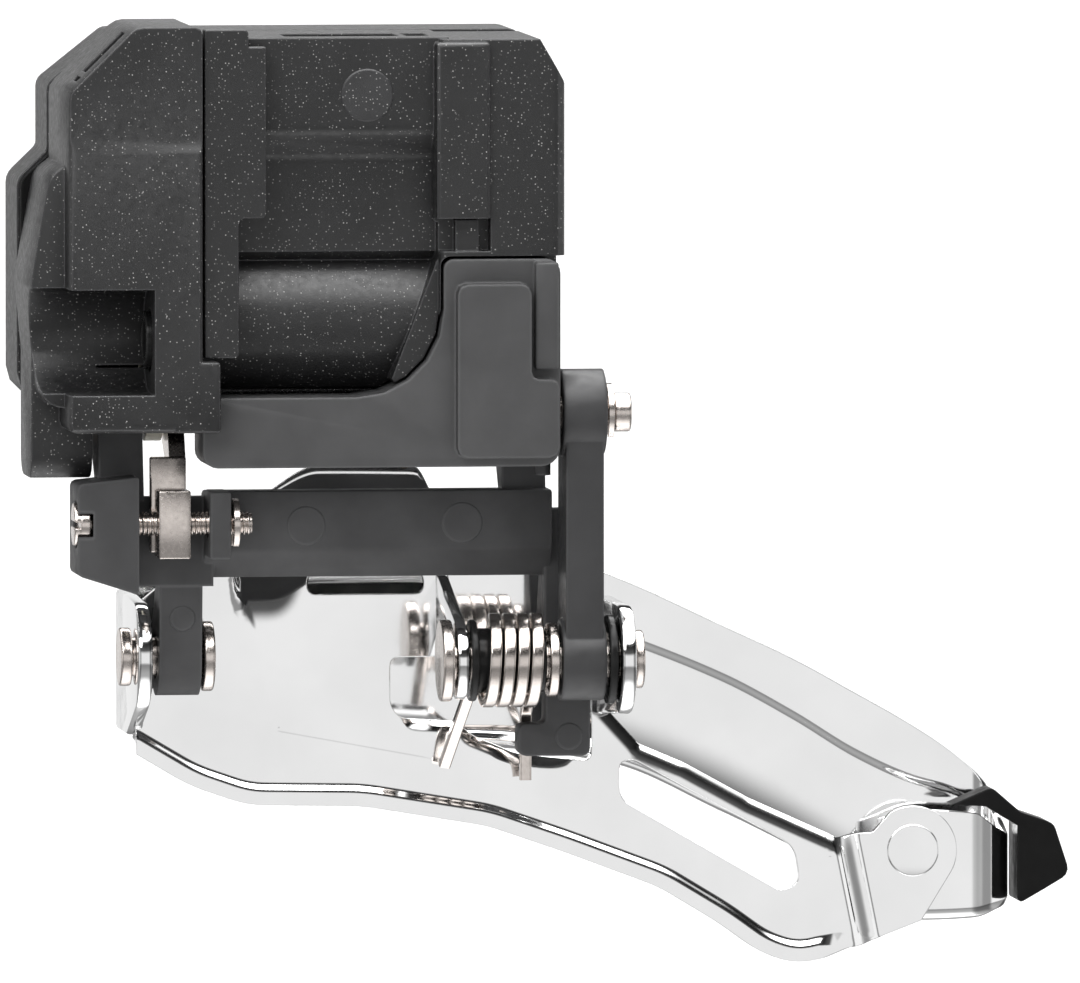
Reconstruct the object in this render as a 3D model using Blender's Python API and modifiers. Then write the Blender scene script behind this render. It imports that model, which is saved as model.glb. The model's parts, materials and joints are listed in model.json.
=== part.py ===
"""Motor-driven front derailleur for a bicycle, built as the pieces it comes apart into.

The origin is the centre of the bracket's frame pad. +X runs to the rear wheel, +Y outboard
to the crank and +Z up. Sizes are in millimetres and become metres where a mesh is made.
"""
import math

import bmesh
import bpy
from mathutils import Matrix, Vector

MM = 0.001
ROUND = 24

# Clearances: between seated faces, and around a pin in its bore
SEAT = 0.3
RUN = 0.3

# Parallelogram linkage, in the plane across the bike
ARM_Y = 5.5
LINK_SPACING = 10.0
LINK_Y = ARM_Y + LINK_SPACING
UPPER_Z = -4.5
LINK_LENGTH = 25.4
LOWER_Z = UPPER_Z - LINK_LENGTH
ARM_TOP = (ARM_Y, UPPER_Z)
LINK_TOP = (LINK_Y, UPPER_Z)
ARM_LOW = (ARM_Y, LOWER_Z)
LINK_LOW = (LINK_Y, LOWER_Z)
PIN_RADIUS = 2.0
BORE_RADIUS = PIN_RADIUS + RUN

# Base bracket
PAD_LEFT = -3.4
PAD_RIGHT = 4.2
PAD_TOP = 9.0
PAD_FOOT_TOP = -0.8
PAD_BOTTOM = -8.8
BAR_FRONT = 2.0
BAR_BACK = 10.2
BAR_LEFT = -29.4
BAR_BOTTOM = -9.8
BAR_TOP = -2.6
BLOCK_LEFT = -4.6
BLOCK_RIGHT = 7.4
BLOCK_TOP = 11.5
BLOCK_FILLET = 9.0
STEP_FRONT = 0.8
STEP_WIDTH = 2.4
SHAFT_LUG_X = (-2.8, 2.1)
SHAFT_LUG_RADIUS = 4.2
BUSH_WALL = 1.0
BUSH_RADIUS = BORE_RADIUS + BUSH_WALL
PEG_RADIUS = 0.8
PEG_X = 6.0
PEG_DROP = 1.1
PEG_SEAT = 2.0

# Motor, on the long axis of the case
MOTOR_Y = 12.2
MOTOR_Z = 5.0
MOTOR_RADIUS = 6.0
MOTOR_X = (-25.2, -11.6)
MOTOR_CAP_LENGTH = 1.8
MOTOR_CAP_RADIUS = 5.4
ROTOR_RADIUS = 1.0

# Two-stage spur reduction from the motor to the sector on the output shaft
MODULE = 0.5
PINION_TEETH = 8
WHEEL_TEETH = 20
SECTOR_TEETH = 28
TOOTH_ADDENDUM = 0.8
TOOTH_DEDENDUM = 1.1
TOOTH_TIP_HALF = 0.10
TOOTH_ROOT_HALF = 0.27
SECTOR_BEHIND_TEETH = 8
SECTOR_AHEAD_TEETH = 2
SECTOR_X = (-34.1, -32.4)
WHEEL_X = (-32.0, -30.3)
IDLER_RADIUS = 0.75
HUB_RADIUS = 3.2

# Case: gearbox cover at the front of the bike, motor case behind it, one outer cover
WALL = 1.3
PART_Y = 20.6
GASKET = 0.6
COVER_Y = (PART_Y + SEAT + GASKET + SEAT, 33.0)
COVER_EDGE = 2.4
BOX_LEFT = -43.4
BOX_RIGHT = -29.7
BOX_FRONT = -1.0
BOX_TOP = 35.5
BOX_BOTTOM = -6.0
BOX_CHAMFER_X = -36.6
BOX_CHAMFER_Z = 28.8
CORNER_SLOT_SPANS = ((0.16, 0.23), (0.30, 0.90))
CORNER_SLOT_DEPTH = 0.7
CORNER_SLOT_Y = (3.0, 6.5)
PANEL_Z = 23.3
PANEL_STEP = 0.6
PANEL_SLOPE = 1.6
BULGE_LEFT = BOX_LEFT - 3.5
BULGE_FRONT = 4.0
BULGE_Z = (-3.6, 22.0)
FOOT_X = (-46.3, -40.0)
FOOT_FRONT = 9.5
FOOT_BOTTOM = -11.2
CORNER_X = -27.9
CORNER_TOP = 1.3
CORNER_BACK = BAR_FRONT - SEAT
TROUGH_Y = 4.4
TROUGH_Z = 3.3
TROUGH_RADIUS = 5.4
SOCKET_RADIUS = 3.0
SOCKET_LENGTH = 3.0
TROUGH_END = BOX_RIGHT - SOCKET_LENGTH - 2.0
SOCKET_BORE = 2.1
SOCKET_FLOOR = 0.9
CONTACT_RADIUS = 0.35
CONTACT_SPREAD = 0.8
CONTACT_LENGTH = 1.6
NOTCH_LEFT = -39.7
NOTCH_FRONT = 8.8
NOTCH_TOP = 0.5
CHAMBER_LEFT = -34.6
CHAMBER_TOP = 10.6
UPPER_FLOOR = 12.4

CASE_LEFT = BOX_RIGHT + SEAT
CASE_TOP = 34.2
CASE_BOTTOM = -1.9
CHANNEL_FRONT = 3.0
CHANNEL_FOOT = 24.6
LABEL_FRONT = 6.0
LABEL_TOP = 21.8
LABEL_FOOT = 12.2
END_LEFT = -5.0
END_RIGHT = 8.0
END_FRONT = 2.0
END_BOTTOM = 4.3
END_TOP = CASE_TOP - 0.2
END_CHAMFER_X = 5.3
END_CHAMFER_Z = 29.4
FLANK_FRONT = 3.6
FLANK_REACH = 4.8
FLANK_FOOT = -0.8
TOP_SLOT_SPANS = ((CASE_LEFT + 8.9, END_LEFT - 3.7), (END_LEFT - 3.0, END_LEFT - 0.6))
TOP_SLOT_Y = (6.5, 13.0)
TOP_SLOT_DEPTH = 0.7
RIB_LEFT = -5.5
RIB_RIGHT = 0.1
RIB_FRONT = 1.0
RIB_Z = (15.2, 33.7)
RIB_SLOT_FOOT = 12.3
RIB_SLOT_DEPTH = 2.0
RIB_PEG_X = (-3.4, -1.0)
COVER_BOTTOM = -3.8

RAIL_Y = (0.5, 2.7)
RAIL_SHOULDER = 15.9
RAIL_NARROW = -25.9
RAIL_RIGHT = -23.1
RAIL_NOTCH_X = -24.9
RAIL_NOTCH_Z = 33.4
RAIL_TOP = 35.2

BOARD_Y = 27.5
BOARD_THICK = 1.2
BOARD_X = (-37.0, 5.0)
BOARD_Z = (13.0, CASE_TOP - 3.2)
POST_RADIUS = 1.3
POST_INSET = 3.0
CHIP_SIZE = 6.0
CHIP_THICK = 1.0

# Swing link, on the output shaft
EAR_RADIUS = 4.0
EAR_RIGHT_X = (2.4, 6.9)
EAR_LEFT_X = (-39.3, -34.7)
PLATE_Y = (9.6, 13.2)
PLATE_X = (-28.4, 7.5)
PLATE_Z = (-21.6, -12.6)
PLATE_BEVEL_Z = -18.7
PLATE_BEVEL_Y = 12.2
SPAN_FRONT = 10.8
SPAN_Z = (-22.4, -13.2)
HEAD_BLOCK_Y = (4.8, 12.8)
HEAD_BLOCK_LEFT = -42.0
HEAD_BLOCK_RIGHT = -35.7
HEAD_BLOCK_TOP = (-11.5, -10.8)
HEAD_BLOCK_FOOT = (-20.9, -22.9)
LUG_X = (-28.4, -26.2)
LUG_Y = 4.7
LUG_Z = (-19.3, -12.4)
LEG_LEFT_X = (-32.9, -28.5)
LEG_RIGHT_X = (6.9, 12.0)
LEG_RADIUS = 4.0
LEG_TOP_Z = -19.0
LEG_FRONT = 11.4
HOOK_Y = (12.6, 16.4)
HOOK_BOTTOM = -40.3
HOOK_TIP_X = 4.4
HOOK_TIP_TOP = -37.0
SHAFT_X = (-44.6, 7.0)

# Stroke-adjusting screw and its nut, in front of the link
SCREW_Y = 7.0
SCREW_Z = -15.7
SCREW_RADIUS = 1.25
SCREW_HEAD_RADIUS = 2.2
SCREW_HEAD = 1.6
SCREW_END = -23.9
SLOT_WIDTH = 0.6
SLOT_DEPTH = 0.7
RING_THICK = 0.6
RING_GROOVE = 0.45
NUT_X = (-33.7, -30.4)
NUT_Y = (4.5, 8.7)
NUT_Z = (-19.2, -12.2)
STRAP_Y = (NUT_Y[1] + SEAT, NUT_Y[1] + SEAT + 1.3)
STRAP_FOOT = -18.8
STRAP_KNEE = (10.6, -10.0)
STRAP_KNEE_RADIUS = 1.3

# Support arm, outside the bracket
ARM_THICK = 4.5
ARM_X = (BLOCK_RIGHT + SEAT, BLOCK_RIGHT + SEAT + ARM_THICK)
ARM_TOP_RADIUS = 4.5
ARM_LOW_RADIUS = 4.2
ARM_WEB = 3.5
UPPER_PIN_SEAT = -2.4
UPPER_PIN_END = 15.0

# Cage
SHEET = 1.0
TAB_SHEET = 1.5
CAGE_INNER_Y = 20.5
CAGE_OUTER_Y = 32.6
TAB_RADIUS = 5.6
SPACER_THICK = 0.8
TAB_RIGHT_X0 = ARM_X[1] + SEAT + SPACER_THICK + SEAT
TAB_RIGHT_X = (TAB_RIGHT_X0, TAB_RIGHT_X0 + TAB_SHEET)
TAB_LEFT_X = (LEG_LEFT_X[0] - SEAT - TAB_SHEET - 0.5, LEG_LEFT_X[0] - SEAT - 0.5)
TAB_MID_X = (-3.2, -2.0)
TAB_MID_RADIUS = 4.0
WALL_TOP = -24.0
WALL_FOOT = -38.4
INNER_TOP = -20.6
LIP_DROP = 2.0
LIP_OUT = 1.4
TAIL_Y = 25.2
TAIL_CENTRE = (47.0, -51.3)
TAIL_RADIUS = 4.6
TAIL_FLANGE_Y = TAIL_Y + SHEET + SEAT
WINDOW_SPRING_TOP = -30.5
RIVET_RADIUS = 1.2
RIVET_HEAD_RADIUS = 2.6
RIVET_HEAD = 0.7
FRONT_RIVET_Z = (-34.0, -28.0)
FRONT_RIVET_X = -30.0
FRONT_FLANGE_X = -26.5

# Lower pins, bush and torsion spring
PIN_HEAD_RADIUS = 4.2
PIN_HEAD = 1.2
PIN_TAIL_RADIUS = 3.0
PIN_TAIL = 0.9
WIRE = 1.0
SPRING_RADIUS = 4.35
SPRING_PITCH = 1.44
SPRING_TURNS = 4
CURL_POINTS = 10
SPRING_START = -0.1
BUSH_FLANGE = 0.7
BUSH_OUTER = 3.3
DISC_RADIUS = 3.8
BUMPER_Y = (25.0, 31.6)
BUMPER_LEFT = 57.9
WEDGE_BACK = 29.2


def clear_scene():
    """Start from an empty scene."""
    for item in list(bpy.data.objects):
        bpy.data.objects.remove(item, do_unlink=True)


def circle(centre, radius, count=ROUND):
    """Points around a circle."""
    turn = 2 * math.pi / count
    return [(centre[0] + radius * math.cos(i * turn), centre[1] + radius * math.sin(i * turn))
            for i in range(count)]


def arc(centre, radius, first, last, count):
    """Points along an arc between two angles in degrees."""
    span = (last - first) / (count - 1)
    angles = [math.radians(first + span * i) for i in range(count)]
    return [(centre[0] + radius * math.cos(a), centre[1] + radius * math.sin(a)) for a in angles]


def rectangle(u, v):
    """Corners of a rectangle between two pairs of limits."""
    return [(u[0], v[0]), (u[1], v[0]), (u[1], v[1]), (u[0], v[1])]


def hull(points):
    """Convex outline around points, as a taut band would run."""
    ordered = sorted(set(points))

    def half(run):
        out = []
        for p in run:
            while len(out) > 1 and turn_of(out[-2], out[-1], p) <= 0:
                out.pop()
            out.append(p)
        return out[:-1]

    return half(ordered) + half(reversed(ordered))


def turn_of(a, b, c):
    """Signed area that tells which way a corner turns."""
    return (b[0] - a[0]) * (c[1] - a[1]) - (b[1] - a[1]) * (c[0] - a[0])


def fillet(corners, steps=4):
    """Outline whose corners (u, v, radius) are rounded by tangent arcs."""
    out = []
    count = len(corners)
    for i, (u, v, radius) in enumerate(corners):
        here = Vector((u, v))
        before = (Vector(corners[i - 1][:2]) - here).normalized()
        after = (Vector(corners[(i + 1) % count][:2]) - here).normalized()
        angle = before.angle(after)
        if radius == 0 or angle > math.radians(178):
            out.append((u, v))
            continue
        reach = radius / math.tan(angle / 2)
        centre = here + (before + after).normalized() * (radius / math.sin(angle / 2))
        start = here + before * reach - centre
        end = here + after * reach - centre
        sweep = start.angle_signed(end)
        for k in range(steps + 1):
            spoke = start.copy()
            spoke.rotate(Matrix.Rotation(-sweep * k / steps, 2))
            out.append(tuple(centre + spoke))
    return out


def new_object(name, mesh):
    """Object for a mesh, in the scene's collection until it is handed to a part."""
    item = bpy.data.objects.new(name, mesh)
    bpy.context.scene.collection.objects.link(item)
    return item


def settled(item):
    """Mesh of an object with its modifiers worked out, in world coordinates."""
    bpy.context.view_layer.update()
    graph = bpy.context.evaluated_depsgraph_get()
    mesh = bpy.data.meshes.new_from_object(item.evaluated_get(graph))
    mesh.transform(item.matrix_world)
    shape = bmesh.new()
    shape.from_mesh(mesh)
    bmesh.ops.remove_doubles(shape, verts=shape.verts, dist=2e-6)
    shape.to_mesh(mesh)
    shape.free()
    return mesh


def bake(item):
    """Replace an object by the plain mesh that its curve and modifiers give."""
    mesh = settled(item)
    name = item.name
    bpy.data.objects.remove(item, do_unlink=True)
    return new_object(name, mesh)


AXES = {
    "X": Matrix(((0, 0, 1, 0), (1, 0, 0, 0), (0, 1, 0, 0), (0, 0, 0, 1))),
    "Y": Matrix(((1, 0, 0, 0), (0, 0, -1, 0), (0, 1, 0, 0), (0, 0, 0, 1))),
    "Z": Matrix.Identity(4),
}


def slab(name, outline, axis, span, holes=(), edge=0.0):
    """Flat outline given a thickness: YZ outline along X, XZ outline along Y, XY along Z."""
    curve = bpy.data.curves.new(name, "CURVE")
    curve.dimensions = "2D"
    curve.fill_mode = "BOTH"
    curve.extrude = (span[1] - span[0]) / 2 * MM
    for ring in (outline, *holes):
        spline = curve.splines.new("POLY")
        spline.points.add(len(ring) - 1)
        for point, (u, v) in zip(spline.points, ring):
            point.co = (u * MM, v * MM, 0, 1)
        spline.use_cyclic_u = True
    item = new_object(name, curve)
    middle = {"XYZ"["XYZ".index(axis)]: (span[0] + span[1]) / 2 * MM}
    shift = Vector((middle.get("X", 0), middle.get("Y", 0), middle.get("Z", 0)))
    item.matrix_world = Matrix.Translation(shift) @ AXES[axis]
    item = bake(item)
    dissolve(item)
    if edge:
        item = soften(item, edge)
    return item


def dissolve(item):
    """Merge faces that lie in one plane."""
    shape = bmesh.new()
    shape.from_mesh(item.data)
    bmesh.ops.dissolve_limit(shape, angle_limit=1e-4, verts=shape.verts, edges=shape.edges)
    bmesh.ops.recalc_face_normals(shape, faces=shape.faces)
    shape.to_mesh(item.data)
    shape.free()


def soften(item, width, segments=2):
    """Round the sharp edges of a solid."""
    bevel = item.modifiers.new("Soft edges", "BEVEL")
    bevel.width = width * MM
    bevel.segments = segments
    bevel.limit_method = "ANGLE"
    bevel.angle_limit = math.radians(40)
    return bake(item)


def box(name, x, y, z, edge=0.0):
    """Block between limits along each axis."""
    mesh = bpy.data.meshes.new(name)
    shape = bmesh.new()
    bmesh.ops.create_cube(shape, size=MM)
    size = (x[1] - x[0], y[1] - y[0], z[1] - z[0])
    bmesh.ops.scale(shape, vec=size, verts=shape.verts)
    centre = Vector((x[0] + x[1], y[0] + y[1], z[0] + z[1])) / 2 * MM
    bmesh.ops.translate(shape, vec=centre, verts=shape.verts)
    shape.to_mesh(mesh)
    shape.free()
    item = new_object(name, mesh)
    return soften(item, edge) if edge else item


def rod(name, centre, x, radius, axis="X", count=ROUND):
    """Plain cylinder along an axis; centre holds the other two coordinates."""
    return slab(name, circle(centre, radius, count), axis, x)


def turned(name, centre, profile):
    """Turned piece along X from (x, radius) steps, by a Screw modifier around its axis."""
    mesh = bpy.data.meshes.new(name)
    outer = [(x, r) for x, r in reversed(profile)]
    rows = [(outer[0][0], 0.0), *outer, (outer[-1][0], 0.0)]
    verts = [(r * MM, 0, x * MM) for x, r in rows]
    mesh.from_pydata(verts, [(i, i + 1) for i in range(len(verts) - 1)], [])
    item = new_object(name, mesh)
    screw = item.modifiers.new("Turn", "SCREW")
    screw.axis = "Z"
    screw.steps = ROUND
    screw.render_steps = ROUND
    screw.use_merge_vertices = True
    screw.merge_threshold = 1e-6
    screw.use_normal_calculate = True
    item.matrix_world = Matrix.Translation((0, centre[0] * MM, centre[1] * MM)) @ AXES["X"]
    item = bake(item)
    dissolve(item)
    return item


def combine(item, other, operation):
    """Boolean of two solids; the second is used up."""
    modifier = item.modifiers.new(operation, "BOOLEAN")
    modifier.operation = operation
    modifier.solver = "EXACT"
    modifier.object = other
    item = bake(item)
    bpy.data.objects.remove(other, do_unlink=True)
    dissolve(item)
    return item


def fuse(item, *others):
    """One body from overlapping solids."""
    for other in others:
        item = combine(item, other, "UNION")
    return item


def cut(item, *others):
    """Take solids out of a body."""
    for other in others:
        item = combine(item, other, "DIFFERENCE")
    return item


FINISHES = {
    "speckled_case": ((0.045, 0.045, 0.048), 0.55, 0.0),
    "matte_bracket": ((0.075, 0.075, 0.078), 0.5, 0.1),
    "black_plastic": ((0.02, 0.02, 0.02), 0.4, 0.0),
    "chrome": ((0.86, 0.86, 0.86), 0.08, 1.0),
    "nickel": ((0.72, 0.67, 0.63), 0.25, 1.0),
    "steel": ((0.55, 0.55, 0.56), 0.35, 1.0),
    "bronze": ((0.55, 0.38, 0.2), 0.4, 1.0),
    "rubber": ((0.03, 0.03, 0.03), 0.8, 0.0),
    "board": ((0.05, 0.2, 0.1), 0.5, 0.0),
    "gear_plastic": ((0.7, 0.68, 0.62), 0.5, 0.0),
}


def finish(item, name, look, parent=None):
    """Name a part, give it its material and hang it on its joint's empty."""
    item.name = name
    item.data.name = name
    colour, rough, metal = FINISHES[look]
    material = bpy.data.materials.new(name)
    material.use_nodes = True
    shader = material.node_tree.nodes["Principled BSDF"]
    shader.inputs["Base Color"].default_value = (*colour, 1.0)
    shader.inputs["Roughness"].default_value = rough
    shader.inputs["Metallic"].default_value = metal
    item.data.materials.clear()
    item.data.materials.append(material)
    item.data.shade_smooth()
    item.data.set_sharp_from_angle(angle=math.radians(35))
    bpy.context.scene.collection.objects.unlink(item)
    PARTS.objects.link(item)
    if parent:
        item.parent = parent
        item.matrix_parent_inverse = parent.matrix_world.inverted()
    return item


def joint_empty(name, x, centre):
    """Empty on a joint's axis."""
    item = bpy.data.objects.new(name, None)
    item.empty_display_size = 5 * MM
    item.location = (x * MM, centre[0] * MM, centre[1] * MM)
    PARTS.objects.link(item)
    bpy.context.view_layer.update()
    return item


def direction(start, end):
    """Angle of the line between two points of the YZ plane."""
    return math.atan2(end[1] - start[1], end[0] - start[0])


def idler_centre():
    """Where the reduction gear meshes with both the sector and the motor pinion."""
    near = MODULE * (SECTOR_TEETH + PINION_TEETH) / 2
    far = MODULE * (WHEEL_TEETH + PINION_TEETH) / 2
    across = (MOTOR_Y - LINK_Y, MOTOR_Z - UPPER_Z)
    gap = math.hypot(*across)
    along = (near ** 2 - far ** 2 + gap ** 2) / (2 * gap)
    side = math.sqrt(near ** 2 - along ** 2)
    unit = (across[0] / gap, across[1] / gap)
    return (LINK_Y + along * unit[0] + side * unit[1], UPPER_Z + along * unit[1] - side * unit[0])


def teeth(centre, count, phase, first=0, last=None):
    """Tapered spur teeth from one index to another, the first at the phase angle."""
    pitch = 2 * math.pi / count
    radius = MODULE * count / 2
    root = radius - TOOTH_DEDENDUM * MODULE
    tip = radius + TOOTH_ADDENDUM * MODULE
    flank = ((root, -TOOTH_ROOT_HALF), (tip, -TOOTH_TIP_HALF),
             (tip, TOOTH_TIP_HALF), (root, TOOTH_ROOT_HALF))
    out = []
    for i in range(first, count if last is None else last):
        for r, share in flank:
            angle = phase + (i + share) * pitch
            out.append((centre[0] + r * math.cos(angle), centre[1] + r * math.sin(angle)))
    return out


def e_ring(name, centre, x, outer, bore):
    """Retaining ring: a disc open at the bottom with three tongues on the shaft's groove."""
    ring = slab(name, circle(centre, outer), "X", x)
    hole = rod("hole", centre, (x[0] - 1, x[1] + 1), bore)
    mouth = box("mouth", (x[0] - 1, x[1] + 1), (centre[0] - bore, centre[0] + bore),
                (centre[1] - outer - 1, centre[1]))
    return cut(ring, hole, mouth)


def bracket_outline(extra):
    """Bar and pin block with the large fillet between them, grown by an amount."""
    return fillet([
        (BAR_LEFT - extra, BAR_BOTTOM - extra, 1.5), (BLOCK_RIGHT + extra, BAR_BOTTOM - extra, 2.0),
        (BLOCK_RIGHT + extra, BLOCK_TOP + extra, 1.5), (BLOCK_LEFT - extra, BLOCK_TOP + extra, 1.0),
        (BLOCK_LEFT - extra, BAR_TOP + extra, BLOCK_FILLET - extra),
        (BAR_LEFT - extra, BAR_TOP + extra, 1.0)], 5)


def base_bracket():
    """Forged bracket: bar under the motor, frame pad, pin block and shaft lug."""
    bar = slab("bar", bracket_outline(0), "Y", (BAR_FRONT, BAR_BACK), edge=0.8)
    pad = slab("pad", fillet([
        (PAD_LEFT, PAD_BOTTOM, 1.0), (BLOCK_RIGHT - SEAT, PAD_BOTTOM, 1.0),
        (BLOCK_RIGHT - SEAT, PAD_FOOT_TOP, 0.8), (PAD_RIGHT, PAD_FOOT_TOP, 0.8),
        (PAD_RIGHT, PAD_TOP, 1.0), (PAD_LEFT, PAD_TOP, 1.0),
    ], 2), "Y", (0, BAR_FRONT + 1))
    step = box("step", (BLOCK_RIGHT - SEAT - STEP_WIDTH, BLOCK_RIGHT - SEAT),
               (STEP_FRONT, BAR_FRONT + 1), (PAD_FOOT_TOP + 1, BLOCK_TOP - SEAT), edge=0.3)
    lug = slab("lug", hull(circle(LINK_TOP, SHAFT_LUG_RADIUS) + rectangle(
        (BAR_BACK - 1, BAR_BACK), (UPPER_Z - SHAFT_LUG_RADIUS, UPPER_Z + SHAFT_LUG_RADIUS))),
        "X", SHAFT_LUG_X)
    item = fuse(bar, pad, step, lug)
    pin = rod("pin", ARM_TOP, (UPPER_PIN_SEAT - SEAT, BLOCK_RIGHT + 1), PIN_RADIUS + SEAT / 2)
    bush = rod("bush", LINK_TOP, (SHAFT_LUG_X[0] - 1, SHAFT_LUG_X[1] + 1), BUSH_RADIUS + SEAT / 2)
    peg = rod("peg", (PEG_X, ARM_Y), (BAR_BOTTOM - 1, BAR_BOTTOM + PEG_SEAT), PEG_RADIUS + SEAT / 2,
              axis="Z", count=12)
    return cut(item, pin, bush, peg)


def trough_outline(extra):
    """Half-pipe that the plug lies in, open to the front."""
    radius = TROUGH_RADIUS + extra
    bend = arc((TROUGH_Y, TROUGH_Z), radius, 90, -90, 13)
    return bend + [(BOX_FRONT - 2, TROUGH_Z - radius), (BOX_FRONT - 2, TROUGH_Z + radius)]


def corner_slot(span):
    """Shallow slot in the sloping top corner of the gearbox cover, along a share of its length."""
    width = BOX_CHAMFER_X - BOX_LEFT
    height = BOX_TOP - BOX_CHAMFER_Z
    length = math.hypot(width, height)
    across = (height / length, -width / length)
    outline = []
    for share, depth in ((span[0], -1.0), (span[1], -1.0), (span[1], CORNER_SLOT_DEPTH),
                         (span[0], CORNER_SLOT_DEPTH)):
        outline.append((BOX_LEFT + share * width + depth * across[0],
                        BOX_CHAMFER_Z + share * height + depth * across[1]))
    return slab("slot", outline, "Y", CORNER_SLOT_Y)


def gearbox_cover():
    """Front moulding over the gears: plug trough, bulge, foot and notch for the link's ear."""
    body = slab("body", [
        (BOX_LEFT, BOX_BOTTOM), (BOX_RIGHT, BOX_BOTTOM), (BOX_RIGHT, BOX_TOP),
        (BOX_CHAMFER_X, BOX_TOP), (BOX_LEFT, BOX_CHAMFER_Z)], "Y", (BOX_FRONT, PART_Y), edge=0.8)
    bulge = slab("bulge", fillet([
        (BOX_LEFT + 1, BULGE_Z[0], 0), (BOX_LEFT + 1, BULGE_Z[1], 0), (BOX_LEFT - 1.6, BULGE_Z[1] - 2, 2.5),
        (BULGE_LEFT, (BULGE_Z[0] + BULGE_Z[1]) / 2, 10), (BOX_LEFT - 2.4, BULGE_Z[0], 2.5)], 5),
        "Y", (BULGE_FRONT, PART_Y), edge=0.5)
    foot = slab("foot", fillet([
        (FOOT_FRONT, NOTCH_TOP + 2, 0), (FOOT_FRONT, FOOT_BOTTOM, 2.5), (PART_Y - 0.5, FOOT_BOTTOM, 2.5),
        (PART_Y - 0.5, NOTCH_TOP + 2, 0)]), "X", FOOT_X, edge=0.4)
    corner = box("corner", (BOX_RIGHT - 3, CORNER_X), (BOX_FRONT, CORNER_BACK), (BOX_BOTTOM, CORNER_TOP),
                 0.4)
    item = fuse(body, bulge, foot, corner)
    far = PART_Y + 1
    panel = slab("panel", [
        (BOX_FRONT - PANEL_STEP, PANEL_Z - 1.5 * PANEL_SLOPE),
        (BOX_FRONT + PANEL_STEP, PANEL_Z + PANEL_SLOPE / 2),
        (BOX_FRONT + PANEL_STEP, BOX_TOP + 1), (BOX_FRONT - PANEL_STEP, BOX_TOP + 1)],
        "X", (BOX_LEFT - 1, BOX_RIGHT + 1))
    trough = slab("trough", trough_outline(0), "X", (BULGE_LEFT - 1, TROUGH_END))
    notch = box("notch", (NOTCH_LEFT, BOX_RIGHT + 1), (NOTCH_FRONT, far), (FOOT_BOTTOM - 1, NOTCH_TOP))
    sector = box("sector", (CHAMBER_LEFT, BOX_RIGHT + 1), (NOTCH_FRONT + 2.4, far),
                 (NOTCH_TOP - 1, CHAMBER_TOP))
    pinion = box("pinion", (WHEEL_X[0] - SEAT, BOX_RIGHT + 1), (NOTCH_FRONT + 0.4, far),
                 (NOTCH_TOP - 1, CHAMBER_TOP))
    upper = slab("upper", [
        (BOX_LEFT + WALL, UPPER_FLOOR), (BOX_RIGHT - WALL, UPPER_FLOOR), (BOX_RIGHT - WALL, BOX_TOP - WALL),
        (BOX_CHAMFER_X + WALL / 2, BOX_TOP - WALL), (BOX_LEFT + WALL, BOX_CHAMFER_Z - WALL / 2)],
        "Y", (BOX_FRONT + PANEL_STEP + WALL, far))
    socket = rod("socket", (TROUGH_Y, TROUGH_Z), (TROUGH_END - 1, TROUGH_END + SOCKET_LENGTH),
                 SOCKET_RADIUS + SEAT)
    bush = rod("bush", LINK_TOP, (SHAFT_X[0] - SEAT, FOOT_X[1] + 1), BUSH_RADIUS + SEAT / 2)
    slots = [corner_slot(span) for span in CORNER_SLOT_SPANS]
    return cut(item, panel, trough, notch, sector, pinion, upper, socket, bush, *slots)


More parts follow.
